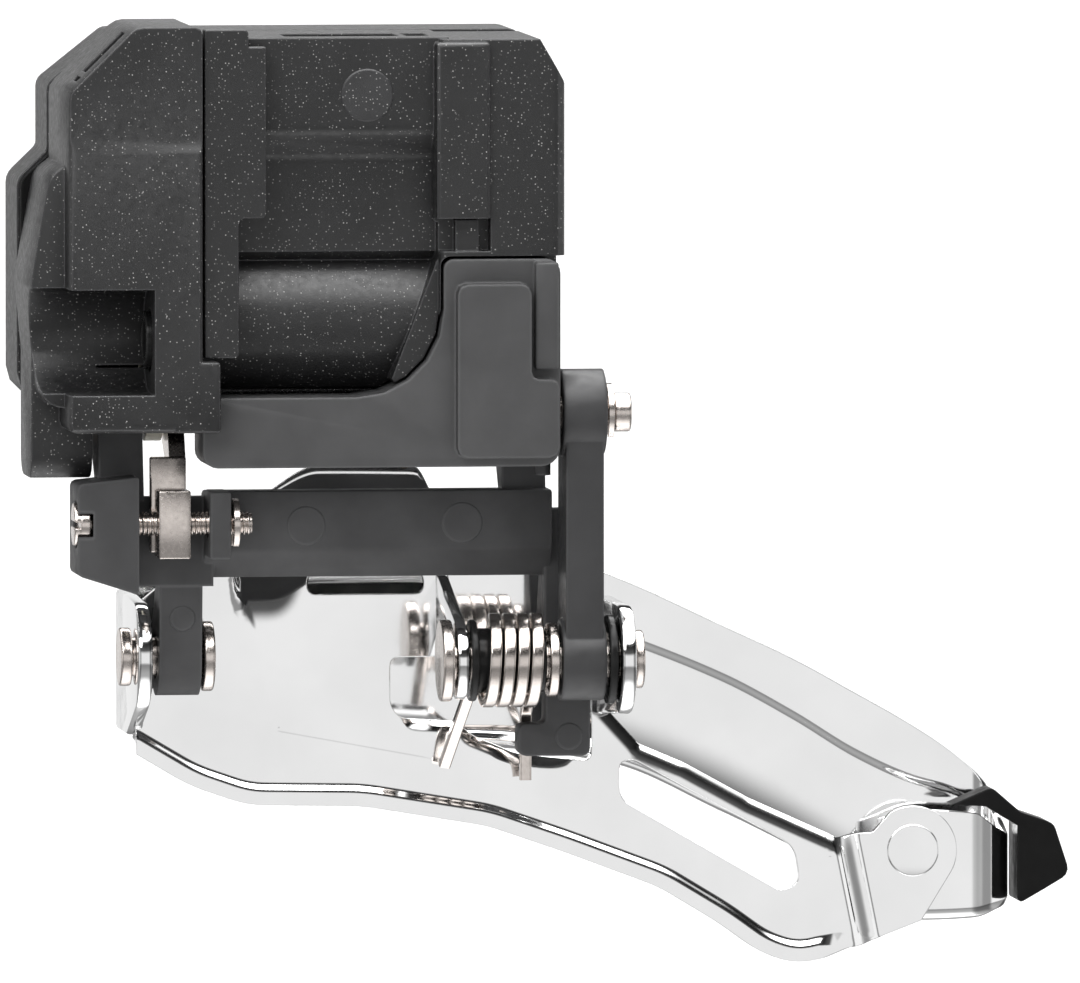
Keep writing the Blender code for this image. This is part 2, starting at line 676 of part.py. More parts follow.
def motor_case():
    """Main moulding: barrel over the motor, recess above it, end block and rib."""
    barrel = MOTOR_RADIUS + SEAT + WALL
    middle = slab("middle", fillet([
        (CHANNEL_FRONT, CASE_TOP, 0), (CHANNEL_FRONT, CHANNEL_FOOT, 1.5), (LABEL_FRONT, LABEL_TOP, 1.5),
        (LABEL_FRONT, LABEL_FOOT, 0)], 3) + arc((MOTOR_Y, MOTOR_Z), barrel, 125, 245, 12) + [
        (MOTOR_Y, CASE_BOTTOM), (PART_Y, CASE_BOTTOM), (PART_Y, CASE_TOP)], "X", (CASE_LEFT, END_LEFT + 1))
    end = slab("end", fillet([
        (END_LEFT, END_FRONT, 0.8), (END_RIGHT, END_FRONT, 1.6), (END_RIGHT, PART_Y, 0),
        (END_LEFT, PART_Y, 0)], 3), "Z", (END_BOTTOM, END_TOP))
    run = (END_RIGHT - END_CHAMFER_X) / (END_TOP - END_CHAMFER_Z)
    chamfer = slab("chamfer", [
        (END_CHAMFER_X - run, END_TOP + 1), (END_RIGHT + run, END_CHAMFER_Z - 1),
        (END_RIGHT + run, END_TOP + 1)],
        "Y", (0, PART_Y + 1))
    end = cut(end, chamfer)
    rib = box("rib", (RIB_LEFT, RIB_RIGHT), (RIB_FRONT, END_FRONT + 3), RIB_Z, 0.4)
    flank = slab("flank", [
        (END_LEFT + 0.5, LABEL_FOOT + 0.2), (END_LEFT - 0.2, LABEL_FOOT - 1.0),
        (END_LEFT - FLANK_REACH, FLANK_FOOT), (END_LEFT - FLANK_REACH + 0.6, FLANK_FOOT - 0.8),
        (END_LEFT + 0.5, FLANK_FOOT - 0.8)], "Y", (FLANK_FRONT, MOTOR_Y))
    item = fuse(middle, end, rib, flank)
    far = PART_Y + 1
    gap = slab("gap", bracket_outline(SEAT), "Y", (-1, BAR_BACK + SEAT))
    side = box("side", (BLOCK_RIGHT - 2, END_RIGHT + 1), (-1, BAR_BACK + SEAT),
               (CASE_BOTTOM - 1, BLOCK_TOP + SEAT))
    slot = box("slot", (RIB_LEFT - 0.1, RIB_RIGHT + 0.1), (RIB_FRONT - 1, END_FRONT + RIB_SLOT_DEPTH),
               (RIB_SLOT_FOOT, RIB_Z[0] + 0.5))
    end_x = MOTOR_X[1] + SEAT + MOTOR_CAP_LENGTH + SEAT
    room = MOTOR_RADIUS + SEAT
    bore = slab("bore", arc((MOTOR_Y, MOTOR_Z), room, 90, 270, 13) + [
        (far, MOTOR_Z - room), (far, MOTOR_Z + room)], "X", (CASE_LEFT + WALL, end_x))
    upper = box("upper", (CASE_LEFT + WALL, END_RIGHT - WALL), (LABEL_FRONT + WALL, far),
                (UPPER_FLOOR + WALL, END_CHAMFER_Z))
    shaft = rod("shaft", (MOTOR_Y, MOTOR_Z), (CASE_LEFT - 1, CASE_LEFT + WALL + 1), ROTOR_RADIUS + RUN)
    idler = rod("idler", idler_centre(), (CASE_LEFT - 1, CASE_LEFT + WALL + 1), IDLER_RADIUS + SEAT / 2)
    depth = (CASE_TOP - TOP_SLOT_DEPTH, CASE_TOP + 1)
    slots = [box("slot", span, TOP_SLOT_Y, depth) for span in TOP_SLOT_SPANS]
    item = cut(item, gap, side, slot, bore, upper, shaft, idler, *slots)
    peg = box("peg", RIB_PEG_X, (END_FRONT + 0.4, END_FRONT + RIB_SLOT_DEPTH + 1),
              (RIB_SLOT_FOOT - 0.1, RIB_Z[0] + 0.3))
    return fuse(item, peg)


def cover_outline(inset):
    """Outline of the outer cover, drawn in by an amount."""
    left = BULGE_LEFT + 0.4 + inset
    low = COVER_BOTTOM + inset
    top = CASE_TOP - inset
    return fillet([
        (left, low, 3.0), (END_RIGHT - inset, low, 2.0),
        (END_RIGHT - inset, END_CHAMFER_Z - inset / 2, 1.5),
        (END_CHAMFER_X - inset / 2, top, 1.5), (BOX_CHAMFER_X + inset / 2, top, 1.5),
        (BOX_LEFT + inset, BOX_CHAMFER_Z - inset / 2, 1.5), (BOX_LEFT + inset, BULGE_Z[1] - inset / 2, 1.0),
        (left, BULGE_Z[1] - 3, 2.0)], 3)


def sector_slot():
    """Room below the cover for the sector's lower end."""
    return box("sector_slot", (CHAMBER_LEFT, SECTOR_X[1] + SEAT), (PART_Y - 1, PART_Y + 4.2),
               (COVER_BOTTOM - 1, NOTCH_TOP))


def outer_cover():
    """Crowned cover on the outboard side, with posts for the board."""
    item = slab("shell", cover_outline(0), "Y", (COVER_Y[0] - 8, COVER_Y[1]), edge=COVER_EDGE)
    trim = box("trim", (-60, 20), (-1, COVER_Y[0]), (-20, 50))
    hollow = slab("hollow", cover_outline(WALL), "Y", (COVER_Y[0] - 1, COVER_Y[1] - WALL))
    item = cut(item, trim, hollow, sector_slot())
    for x in board_posts():
        item = fuse(item,
                    rod("post", (x, sum(BOARD_Z) / 2),
                        (BOARD_Y + BOARD_THICK + SEAT, COVER_Y[1] - WALL / 2),
                              POST_RADIUS, axis="Y", count=12))
    return item


def board_posts():
    """Where the board rests, near both ends."""
    return (BOARD_X[0] + POST_INSET, BOARD_X[1] - POST_INSET)


def swing_link():
    """Main link: ears on the output shaft, plate, screw block and lug, two legs and the hook."""
    plate = slab("plate", [
        (PLATE_Y[0], PLATE_Z[1]), (PLATE_Y[0], PLATE_BEVEL_Z), (PLATE_BEVEL_Y, PLATE_Z[0]),
        (PLATE_Y[1], PLATE_Z[0]), (PLATE_Y[1], PLATE_Z[1])], "X", PLATE_X, edge=0.3)
    ear = slab("ear", hull(circle(LINK_TOP, EAR_RADIUS) + rectangle(
        (PLATE_Y[0] + 1, PLATE_Y[1]), (PLATE_Z[1] - 1, PLATE_Z[1]))), "X", EAR_RIGHT_X)
    left = slab("left", hull(circle(LINK_TOP, EAR_RADIUS) + rectangle(
        (PLATE_Y[0], HEAD_BLOCK_Y[1] - 0.5), (PLATE_Z[1] - 1, PLATE_Z[1]))), "X", EAR_LEFT_X)
    head = slab("head", fillet([
        (HEAD_BLOCK_LEFT, HEAD_BLOCK_TOP[0], 0.6), (HEAD_BLOCK_LEFT, HEAD_BLOCK_FOOT[0], 0.6),
        (HEAD_BLOCK_RIGHT, HEAD_BLOCK_FOOT[1], 0.2), (HEAD_BLOCK_RIGHT, HEAD_BLOCK_TOP[1], 0.2)], 2),
        "Y", HEAD_BLOCK_Y, edge=0.4)
    span = box("span", (HEAD_BLOCK_RIGHT - 1, PLATE_X[0] + 1), (SPAN_FRONT, PLATE_Y[1] - 0.2), SPAN_Z)
    lug = box("lug", LUG_X, (LUG_Y, PLATE_Y[0] + 1), LUG_Z, 0.3)
    top = rectangle((SPAN_FRONT, PLATE_Y[1]), (LEG_TOP_Z - 1, LEG_TOP_Z))
    near = slab("near", hull(circle(LINK_LOW, LEG_RADIUS) + top), "X", LEG_LEFT_X)
    top = rectangle((LEG_FRONT, PLATE_Y[1]), (LEG_TOP_Z - 1, PLATE_BEVEL_Z + 4))
    far = slab("far", hull(circle(LINK_LOW, LEG_RADIUS) + top), "X", LEG_RIGHT_X)
    hook = slab("hook", fillet([
        (LEG_RIGHT_X[0] + 0.3, LOWER_Z, 0), (LEG_RIGHT_X[0] + 0.3, HOOK_TIP_TOP, 0.6),
        (HOOK_TIP_X, HOOK_TIP_TOP, 0.8),
        (HOOK_TIP_X, HOOK_BOTTOM, 0.8), (LEG_RIGHT_X[1] - 0.2, HOOK_BOTTOM, 0.8),
        (LEG_RIGHT_X[1] - 0.2, LOWER_Z, 0)], 3),
        "Y", HOOK_Y, edge=0.4)
    item = fuse(plate, ear, left, head, span, lug, near, far, hook)
    shaft = rod("shaft", LINK_TOP, (SHAFT_X[0] - 1, SHAFT_X[1] + 1), BORE_RADIUS)
    low = rod("low", LINK_LOW, (LEG_LEFT_X[0] - 1, LEG_RIGHT_X[1] + 1), BORE_RADIUS)
    screw = rod("screw", (SCREW_Y, SCREW_Z), (HEAD_BLOCK_LEFT - 1, LUG_X[1] + 1), SCREW_RADIUS + RUN)
    seat = rod("seat", (SCREW_Y, SCREW_Z), (HEAD_BLOCK_LEFT - 1, HEAD_BLOCK_LEFT + SCREW_HEAD),
               SCREW_HEAD_RADIUS + RUN)
    strap = box("strap", (SECTOR_X[0] - SEAT, NUT_X[1] + SEAT), (STRAP_Y[0] - 3, STRAP_Y[1] + SEAT),
                (SPAN_Z[0] - 1, 0))
    return cut(item, shaft, low, screw, seat, strap)


def adjusting_screw():
    """Slotted screw held in the link's block; turning it moves the nut."""
    left = HEAD_BLOCK_LEFT - 0.3
    item = turned("screw", (SCREW_Y, SCREW_Z), [
        (left, SCREW_HEAD_RADIUS), (left + SCREW_HEAD, SCREW_HEAD_RADIUS),
        (left + SCREW_HEAD, SCREW_RADIUS),
        (ring_x()[0] - SEAT / 2, SCREW_RADIUS), (ring_x()[0] - SEAT / 2, SCREW_RADIUS - RING_GROOVE),
        (ring_x()[1] + SEAT / 2, SCREW_RADIUS - RING_GROOVE), (ring_x()[1] + SEAT / 2, SCREW_RADIUS),
        (SCREW_END, SCREW_RADIUS)])
    slot = box("slot", (left - 1, left + SLOT_DEPTH), (SCREW_Y - 4, SCREW_Y + 4),
               (SCREW_Z - SLOT_WIDTH / 2, SCREW_Z + SLOT_WIDTH / 2))
    return cut(item, slot)


def ring_x():
    """Where the screw's retaining ring sits, just outside the lug."""
    return (LUG_X[1] + SEAT, LUG_X[1] + SEAT + RING_THICK)


def adjusting_nut():
    """Square nut on the screw, which the drive arm pushes."""
    item = box("nut", NUT_X, NUT_Y, NUT_Z, 0.2)
    return cut(item, rod("hole", (SCREW_Y, SCREW_Z), (NUT_X[0] - 1, NUT_X[1] + 1), SCREW_RADIUS + RUN))


def drive_arm():
    """Stamped arm from the output shaft down to the back of the nut."""
    hub = slab("hub", hull(circle(LINK_TOP, HUB_RADIUS) + circle(STRAP_KNEE, STRAP_KNEE_RADIUS, 12)),
               "X", (SECTOR_X[1] + SEAT, NUT_X[1]))
    strap = box("strap", (SECTOR_X[0], NUT_X[1]), STRAP_Y, (STRAP_FOOT, STRAP_KNEE[1] + 1), 0.2)
    item = fuse(hub, strap)
    return cut(item, rod("hole", LINK_TOP, (SECTOR_X[1], NUT_X[1] + 1), BORE_RADIUS))


def sector_gear():
    """Toothed sector on the output shaft."""
    phase = direction(LINK_TOP, idler_centre())
    crown = teeth(LINK_TOP, SECTOR_TEETH, phase, -SECTOR_BEHIND_TEETH + 1, SECTOR_AHEAD_TEETH + 1)
    pitch = 360 / SECTOR_TEETH
    start = math.degrees(phase) + (SECTOR_AHEAD_TEETH + 1) * pitch
    end = math.degrees(phase) + 360 - SECTOR_BEHIND_TEETH * pitch
    item = slab("sector", crown + arc(LINK_TOP, HUB_RADIUS, start, end, 14), "X", SECTOR_X)
    return cut(item, rod("hole", LINK_TOP, (SECTOR_X[0] - 1, SECTOR_X[1] + 1), BORE_RADIUS))


def reduction_gear():
    """Wheel driven by the motor pinion, with the small pinion that drives the sector."""
    centre = idler_centre()
    small = direction(centre, LINK_TOP) + math.pi / PINION_TEETH
    large = direction(centre, (MOTOR_Y, MOTOR_Z))
    item = slab("small", teeth(centre, PINION_TEETH, small), "X", (SECTOR_X[0], WHEEL_X[0] + 0.5))
    item = fuse(item, slab("large", teeth(centre, WHEEL_TEETH, large), "X", WHEEL_X))
    return cut(item, rod("hole", centre, (SECTOR_X[0] - 1, WHEEL_X[1] + 1), IDLER_RADIUS + RUN, count=12))


def motor_pinion():
    """Motor's own shaft and pinion."""
    centre = (MOTOR_Y, MOTOR_Z)
    phase = direction(centre, idler_centre()) + math.pi / PINION_TEETH
    item = slab("pinion", teeth(centre, PINION_TEETH, phase), "X", WHEEL_X)
    return fuse(item, rod("shaft", centre, (WHEEL_X[1] - 0.5, MOTOR_X[0] - SEAT), ROTOR_RADIUS, count=16))


def support_arm():
    """Outer link of the parallelogram, on the bracket's pin."""
    web = hull(circle(ARM_TOP, ARM_WEB) + circle(ARM_LOW, ARM_WEB))
    item = slab("web", web, "X", (ARM_X[0] + 0.3, ARM_X[1] - 0.3), edge=0.4)
    top = slab("top", circle(ARM_TOP, ARM_TOP_RADIUS), "X", (ARM_X[0], ARM_X[1]), edge=0.4)
    low = slab("low", circle(ARM_LOW, ARM_LOW_RADIUS), "X", (ARM_X[0], ARM_X[1]), edge=0.4)
    item = fuse(item, top, low)
    for centre in (ARM_TOP, ARM_LOW):
        item = cut(item, rod("hole", centre, (ARM_X[0] - 1, ARM_X[1] + 1), BORE_RADIUS))
    return item


# Lower edge of the inner plate along the chain's run, from the front wall to the tail (x, z)
INNER_FOOT = ((-34.4, -38.0), (-28.0, -41.8), (-22.5, -43.7), (-10.8, -43.9), (2.5, -46.1),
              (10.6, -48.9), (20.7, -52.7), (27.3, -56.7), (31.3, -59.6), (34.4, -60.6), (39.4, -59.4))
# Upper edge of its rear half, from the tail back to the tab (x, z)
INNER_HEAD = ((38.6, -49.6), (29.3, -45.4), (22.6, -41.7), (17.9, -39.7), (14.5, -36.0))


def inner_plate():
    """Inner cage plate: flat sheet, rolled lower lip, jogged tail, three pivot tabs and windows."""
    edge = (TAB_RIGHT_X[0] + TAB_RIGHT_X[1]) / 2
    head = [(edge, LOWER_Z + TAB_RADIUS - 1), (TAB_RIGHT_X[0] - 4, INNER_TOP), (-29.0, INNER_TOP),
            (INNER_FOOT[0][0], WALL_TOP - 1)]
    outline = list(INNER_FOOT) + list(INNER_HEAD) + head
    shape = bmesh.new()
    flat = [shape.verts.new((x * MM, CAGE_INNER_Y * MM, z * MM)) for x, z in outline]
    shape.faces.new(flat)
    foot = flat[:len(INNER_FOOT)]
    lip = []
    for i, (x, z) in enumerate(INNER_FOOT):
        a = INNER_FOOT[max(i - 1, 0)]
        b = INNER_FOOT[min(i + 1, len(INNER_FOOT) - 1)]
        run = Vector((b[0] - a[0], b[1] - a[1])).normalized()
        spot = (x + run.y * LIP_DROP, CAGE_INNER_Y - LIP_OUT, z - run.x * LIP_DROP)
        lip.append(shape.verts.new(Vector(spot) * MM))
    for i in range(len(foot) - 1):
        shape.faces.new((foot[i], lip[i], lip[i + 1], foot[i + 1]))
    tail_outline = tail_tab_outline()
    tail = [shape.verts.new((x * MM, TAIL_Y * MM, z * MM)) for x, z in tail_outline]
    shape.faces.new(tail)
    shape.faces.new((foot[-1], tail[0], tail[-1], flat[len(INNER_FOOT)]))
    bmesh.ops.recalc_face_normals(shape, faces=shape.faces)
    mesh = bpy.data.meshes.new("inner")
    shape.to_mesh(mesh)
    shape.free()
    item = new_object("inner", mesh)
    item = thicken(item, 1.0)
    left = slab("left", hull(circle(LINK_LOW, TAB_RADIUS) + rectangle(
        (CAGE_INNER_Y + 2, CAGE_OUTER_Y - SEAT - 0.2), (WALL_FOOT, WALL_TOP))), "X", TAB_LEFT_X)
    flange = box("flange", (TAB_LEFT_X[0] + 0.5, FRONT_FLANGE_X),
                 (CAGE_OUTER_Y - SEAT - SHEET, CAGE_OUTER_Y - SEAT),
                 (FRONT_RIVET_Z[0] - 2.5, FRONT_RIVET_Z[1] + 2.5))
    right = slab("right", hull(circle(ARM_LOW, TAB_RADIUS) + circle(LINK_LOW, TAB_RADIUS) + rectangle(
        (CAGE_INNER_Y + 0.2, CAGE_INNER_Y + 0.6), (LOWER_Z - TAB_RADIUS - 1, LOWER_Z + TAB_RADIUS))),
            "X", TAB_RIGHT_X)
    mid = slab("mid", hull(circle(ARM_LOW, TAB_MID_RADIUS) + rectangle(
        (CAGE_INNER_Y + 0.2, CAGE_INNER_Y + 0.6), (LOWER_Z + 2, LOWER_Z + 8))), "X", TAB_MID_X)
    item = fuse(item, left, flange, right, mid)
    slot = slab("slot", hull(circle((-15.5, -22.9), 1.1, 12) + circle((-5.6, -22.9), 1.1, 12)), "Y",
                (19, 23))
    spring = slab("spring", fillet([
        (-8.0, WINDOW_SPRING_TOP, 1.0), (-8.0, -35.5, 1.0), (-7.0, -36.8, 1.0), (-1.0, -37.2, 1.0),
        (0.4, -38.6, 0.8),
        (5.2, -40.6, 1.0), (12.9, -41.4, 1.0), (12.9, WINDOW_SPRING_TOP, 1.0)], 3), "Y", (19, 23))
    window = slab("window", fillet([
        (15.8, -41.6, 1.2), (15.8, -45.4, 1.2), (32.6, -55.1, 1.2), (34.6, -54.2, 1.2), (34.0, -50.4, 1.2),
        (17.2, -41.2, 1.0)], 3), "Y", (19, 23))
    item = cut(item, slot, spring, window)
    for centre, x in ((LINK_LOW, TAB_LEFT_X), (LINK_LOW, TAB_RIGHT_X), (ARM_LOW, TAB_RIGHT_X),
                      (ARM_LOW, TAB_MID_X)):
        item = cut(item, rod("hole", centre, (x[0] - 1, x[1] + 1), PIN_RADIUS + SEAT / 2))
    item = cut(item, rod("tail", TAIL_CENTRE, (TAIL_Y - 2, TAIL_Y + 3), RIVET_RADIUS + SEAT / 2,
                         axis="Y", count=16))
    for z in FRONT_RIVET_Z:
        item = cut(item, rod("rivet", (FRONT_RIVET_X, z), (CAGE_OUTER_Y - 3, CAGE_OUTER_Y + 1),
                             RIVET_RADIUS + SEAT / 2, axis="Y", count=16))
    return item


def tail_tab_outline():
    """Round tail tab, from the foot of the jog around to its head."""
    rounded = arc(TAIL_CENTRE, TAIL_RADIUS, -30, 120, 9)
    return [(43.2, -60.4), (47.9, -58.6), *rounded, (42.8, -49.4)]


def thicken(item, side):
    """Sheet metal from an open surface, growing to the outboard side."""
    modifier = item.modifiers.new("Sheet", "SOLIDIFY")
    modifier.thickness = SHEET * MM
    modifier.offset = side
    modifier.use_even_offset = True
    item.modifiers.new("Flat faces", "TRIANGULATE")
    return bake(item)


# Outer plate in plan (x, y), with its top, crease and foot heights, from the front to the tail
OUTER_ROWS = (
    (-33.4, 32.6, -24.0, -27.0, -36.0), (-27.0, 32.6, -19.5, -26.0, -37.5),
    (-19.4, 32.6, -14.2, -24.0, -38.0),
    (-14.0, 32.6, -11.4, -23.0, -38.0), (-4.0, 32.6, -11.6, -23.0, -38.4),
    (-1.8, 32.6, -15.0, -23.5, -38.6),
    (4.0, 32.6, -18.6, -25.0, -39.5), (16.3, 32.6, -22.9, -29.0, -42.0), (28.1, 32.6, -28.3, -33.7, -46.5),
    (35.5, 32.6, -31.8, -37.7, -50.5), (42.0, 32.6, -35.4, -41.7, -53.5), (47.6, 32.6, -38.6, -44.3, -55.0),
    (52.4, 32.6, -41.9, -45.8, -55.6), (55.0, 32.0, -44.6, -47.6, -55.8), (56.2, 31.0, -48.4, -50.6, -55.8),
    (56.5, 29.6, -50.0, -51.6, -55.6), (55.6, 28.1, -49.2, -51.0, -56.0), (53.6, 27.5, -47.6, -49.8, -56.6),
    (48.0, 27.5, -47.2, -49.4, -56.8), (43.6, 27.5, -48.0, -50.0, -55.4))
CREASE_OUT = 0.8


def outer_plate():
    """Outer cage plate: creased band lofted along the plate and folded back at the tail."""
    shape = bmesh.new()
    columns = []
    for i, (x, y, top, crease, foot) in enumerate(OUTER_ROWS):
        flare = CREASE_OUT if x > FRONT_FLANGE_X and y > 32 else 0.0
        spots = ((x, y + flare, top), (x, y, crease), (x, y, foot))
        columns.append([shape.verts.new(Vector(s) * MM) for s in spots])
    for a, b in zip(columns, columns[1:]):
        for k in range(2):
            shape.faces.new((a[k], a[k + 1], b[k + 1], b[k]))
    bmesh.ops.recalc_face_normals(shape, faces=shape.faces)
    mesh = bpy.data.meshes.new("outer")
    shape.to_mesh(mesh)
    shape.free()
    item = new_object("outer", mesh)
    item = thicken(item, 1.0)
    item = cut(item, rod("tail", TAIL_CENTRE, (TAIL_FLANGE_Y - 2, TAIL_FLANGE_Y + 3),
                         RIVET_RADIUS + SEAT / 2,
                         axis="Y", count=16))
    for z in FRONT_RIVET_Z:
        item = cut(item, rod("rivet", (FRONT_RIVET_X, z), (CAGE_OUTER_Y - 1, CAGE_OUTER_Y + 3),
                             RIVET_RADIUS + SEAT / 2, axis="Y", count=16))
    return item


def rivet(name, centre, near, far):
    """Rivet along Y with a head outside each sheet."""
    body = rod(name, centre, (near - SEAT - 0.2, far + SEAT + 0.2), RIVET_RADIUS, axis="Y", count=16)
    head = slab("head", circle(centre, RIVET_HEAD_RADIUS), "Y", (near - SEAT - RIVET_HEAD, near - SEAT))
    tail = slab("tail", circle(centre, RIVET_HEAD_RADIUS, 16), "Y", (far + SEAT, far + SEAT + RIVET_HEAD))
    return fuse(body, head, tail)


def tail_bumper():
    """Plastic skid wrapped on the tail, tapering to the outer plate."""
    item = slab("bumper", fillet([
        (51.0, -46.6, 0), (55.2, -44.8, 0.8), (58.2, -47.4, 0.8), (61.7, -48.6, 1.2), (63.4, -53.8, 1.2),
        (60.7, -55.4, 0), (BUMPER_LEFT, -57.0, 0.4), (BUMPER_LEFT, -48.8, 0), (54.6, -46.8, 0)], 3), "Y",
            BUMPER_Y)
    return cut(item, box("relief", (50.0, BUMPER_LEFT), (WEDGE_BACK, BUMPER_Y[1] + 1), (-50.0, -40.0)))


def arm_low_pin():
    """Riveted pin through the cage tabs, the spring's bush and the support arm."""
    left = TAB_MID_X[0] - SEAT
    right = TAB_RIGHT_X[1] + SEAT
    return turned("pin", ARM_LOW, [
        (left - PIN_HEAD, PIN_HEAD_RADIUS - 0.3), (left - PIN_HEAD + 0.3, PIN_HEAD_RADIUS),
        (left, PIN_HEAD_RADIUS),
        (left, PIN_RADIUS), (right, PIN_RADIUS), (right, PIN_TAIL_RADIUS),
        (right + PIN_TAIL, PIN_TAIL_RADIUS)])


def link_low_pin(inner, outer, inner_radius):
    """Riveted pin that joins one leg of the link to its cage tab."""
    low, high = (outer, inner) if outer < inner else (inner, outer)
    radii = (PIN_TAIL_RADIUS, inner_radius) if outer < inner else (inner_radius, PIN_TAIL_RADIUS)
    low_radius, high_radius = radii
    return turned("pin", LINK_LOW, [
        (low - PIN_HEAD, low_radius - 0.4), (low - PIN_HEAD + 0.4, low_radius), (low, low_radius),
        (low, PIN_RADIUS),
        (high, PIN_RADIUS), (high, high_radius), (high + PIN_HEAD - 0.4, high_radius),
        (high + PIN_HEAD, high_radius - 0.4)])


def ring(name, centre, x, outer, bore):
    """Washer or bush around an axis along X."""
    return slab(name, circle(centre, outer), "X", x, holes=[circle(centre, bore)])


def spring_bush():
    """Flanged plastic bush that the spring turns on."""
    left = TAB_MID_X[1] + SEAT
    item = slab("bush", circle(ARM_LOW, BUSH_OUTER), "X", (left, ARM_X[0] - SEAT - 1.0 - SEAT))
    item = fuse(item, slab("flange", circle(ARM_LOW, PIN_HEAD_RADIUS), "X", (left, left + BUSH_FLANGE)))
    return cut(item, rod("hole", ARM_LOW, (left - 1, ARM_X[0]), BORE_RADIUS))


def spring_path():
    """Centre line of the torsion spring: front leg, coil around the bush, hooked rear leg."""
    turn = 2 * math.pi / CURL_POINTS
    coil = []
    for i in range(SPRING_TURNS * CURL_POINTS + 1):
        angle = -i * turn
        x = SPRING_START + SPRING_PITCH * i / CURL_POINTS
        coil.append((x, ARM_Y + SPRING_RADIUS * math.cos(angle), LOWER_Z + SPRING_RADIUS * math.sin(angle)))
    x0, y0, z0 = coil[0]
    x1, y1, z1 = coil[-1]
    first = [(x0 - 2.6, CAGE_INNER_Y - LIP_OUT - 1.2, LOWER_Z - 11.6), (x0 - 0.2, y0 + 0.6, z0 - 1.6)]
    behind = HOOK_Y[1] + SEAT + WIRE / 2 + 0.3
    last = [(x1, y1 + 0.6, z1 - 2.2), (x1, behind, HOOK_TIP_TOP + 0.9), (x1, behind, HOOK_BOTTOM - 2.8)]
    return first + coil + last


def least_gap(points):
    """Least space between one stretch of wire and another more than half a curl away."""
    dense = []
    for a, b in zip(points, points[1:]):
        for k in range(6):
            dense.append(tuple(p + (q - p) * k / 6 for p, q in zip(a, b)))
    apart = CURL_POINTS * 3
    best = min(math.dist(p, q) for i, p in enumerate(dense) for q in dense[i + apart:])
    return best - WIRE


def torsion_spring():
    """Square-wire spring drawn as one curve."""
    points = spring_path()
    print("least gap of the spring's wire to itself, mm:", round(least_gap(points), 3))
    curve = bpy.data.curves.new("spring", "CURVE")
    curve.dimensions = "3D"
    curve.bevel_depth = WIRE / math.sqrt(2) * MM
    curve.bevel_resolution = 0
    curve.use_fill_caps = True
    curve.twist_mode = "Z_UP"
    spline = curve.splines.new("POLY")
    spline.points.add(len(points) - 1)
    for point, (x, y, z) in zip(spline.points, points):
        point.co = (y * MM, z * MM, x * MM, 1)
        point.tilt = math.radians(45)
    item = new_object("spring", curve)
    item.matrix_world = AXES["X"]
    return bake(item)


clear_scene()
PARTS = bpy.data.collections.new("front_derailleur")
bpy.context.scene.collection.children.link(PARTS)

LINK = joint_empty("link_axis", 0, LINK_TOP)
CAGE = joint_empty("cage_axis", 0, LINK_LOW)
ARM = joint_empty("arm_axis", ARM_X[0], ARM_TOP)
SCREW = joint_empty("screw_axis", HEAD_BLOCK_LEFT, (SCREW_Y, SCREW_Z))
NUT = joint_empty("nut_axis", NUT_X[0], (SCREW_Y, SCREW_Z))
IDLER = joint_empty("idler_axis", WHEEL_X[0], idler_centre())
ROTOR = joint_empty("rotor_axis", WHEEL_X[0], (MOTOR_Y, MOTOR_Z))

finish(base_bracket(), "base_bracket", "matte_bracket")
finish(gearbox_cover(), "gearbox_cover", "speckled_case")
finish(motor_case(), "motor_case", "speckled_case")
finish(outer_cover(), "outer_cover", "speckled_case")
finish(slab("rail", fillet([
    (CASE_LEFT, CORNER_TOP + SEAT, 0), (RAIL_NARROW, CORNER_TOP + SEAT, 0.4),
    (RAIL_NARROW, RAIL_SHOULDER, 0.6),
    (RAIL_RIGHT, RAIL_SHOULDER, 0.4), (RAIL_RIGHT, RAIL_NOTCH_Z, 0), (RAIL_NOTCH_X, RAIL_NOTCH_Z, 0),
    (RAIL_NOTCH_X, RAIL_TOP, 0.4), (CASE_LEFT, RAIL_TOP, 0)], 2), "Y", RAIL_Y, edge=0.3),
    "case_rail", "speckled_case")
finish(cut(slab("gasket", cover_outline(0.3), "Y", (PART_Y + SEAT, PART_Y + SEAT + GASKET),
                holes=[cover_outline(WALL)]), sector_slot()), "case_gasket", "rubber")
finish(fuse(ring("socket", (TROUGH_Y, TROUGH_Z), (TROUGH_END - 0.6, TROUGH_END + SOCKET_LENGTH - SEAT),
                 SOCKET_RADIUS, SOCKET_BORE),
            cut(rod("floor", (TROUGH_Y, TROUGH_Z), (TROUGH_END + SOCKET_LENGTH - SEAT - SOCKET_FLOOR,
                                                   TROUGH_END + SOCKET_LENGTH - SEAT), SOCKET_BORE + 0.4),
                *[rod("pin", (TROUGH_Y, TROUGH_Z + side * CONTACT_SPREAD),
                      (TROUGH_END, TROUGH_END + SOCKET_LENGTH),
                      CONTACT_RADIUS + SEAT / 2, count=8) for side in (-1, 1)])),
       "plug_socket", "black_plastic")
for number, side in enumerate((-1, 1), 1):
    end = TROUGH_END + SOCKET_LENGTH - SEAT
    finish(rod("contact", (TROUGH_Y, TROUGH_Z + side * CONTACT_SPREAD), (end - CONTACT_LENGTH, end),
               CONTACT_RADIUS, count=8),
           f"contact_pin_{number}", "bronze")
finish(rod("motor", (MOTOR_Y, MOTOR_Z), MOTOR_X, MOTOR_RADIUS), "motor_can", "steel")
finish(rod("cap", (MOTOR_Y, MOTOR_Z), (MOTOR_X[1] + SEAT, MOTOR_X[1] + SEAT + MOTOR_CAP_LENGTH),
           MOTOR_CAP_RADIUS),
       "motor_end_cap", "black_plastic")
finish(box("board", BOARD_X, (BOARD_Y, BOARD_Y + BOARD_THICK), BOARD_Z), "circuit_board", "board")
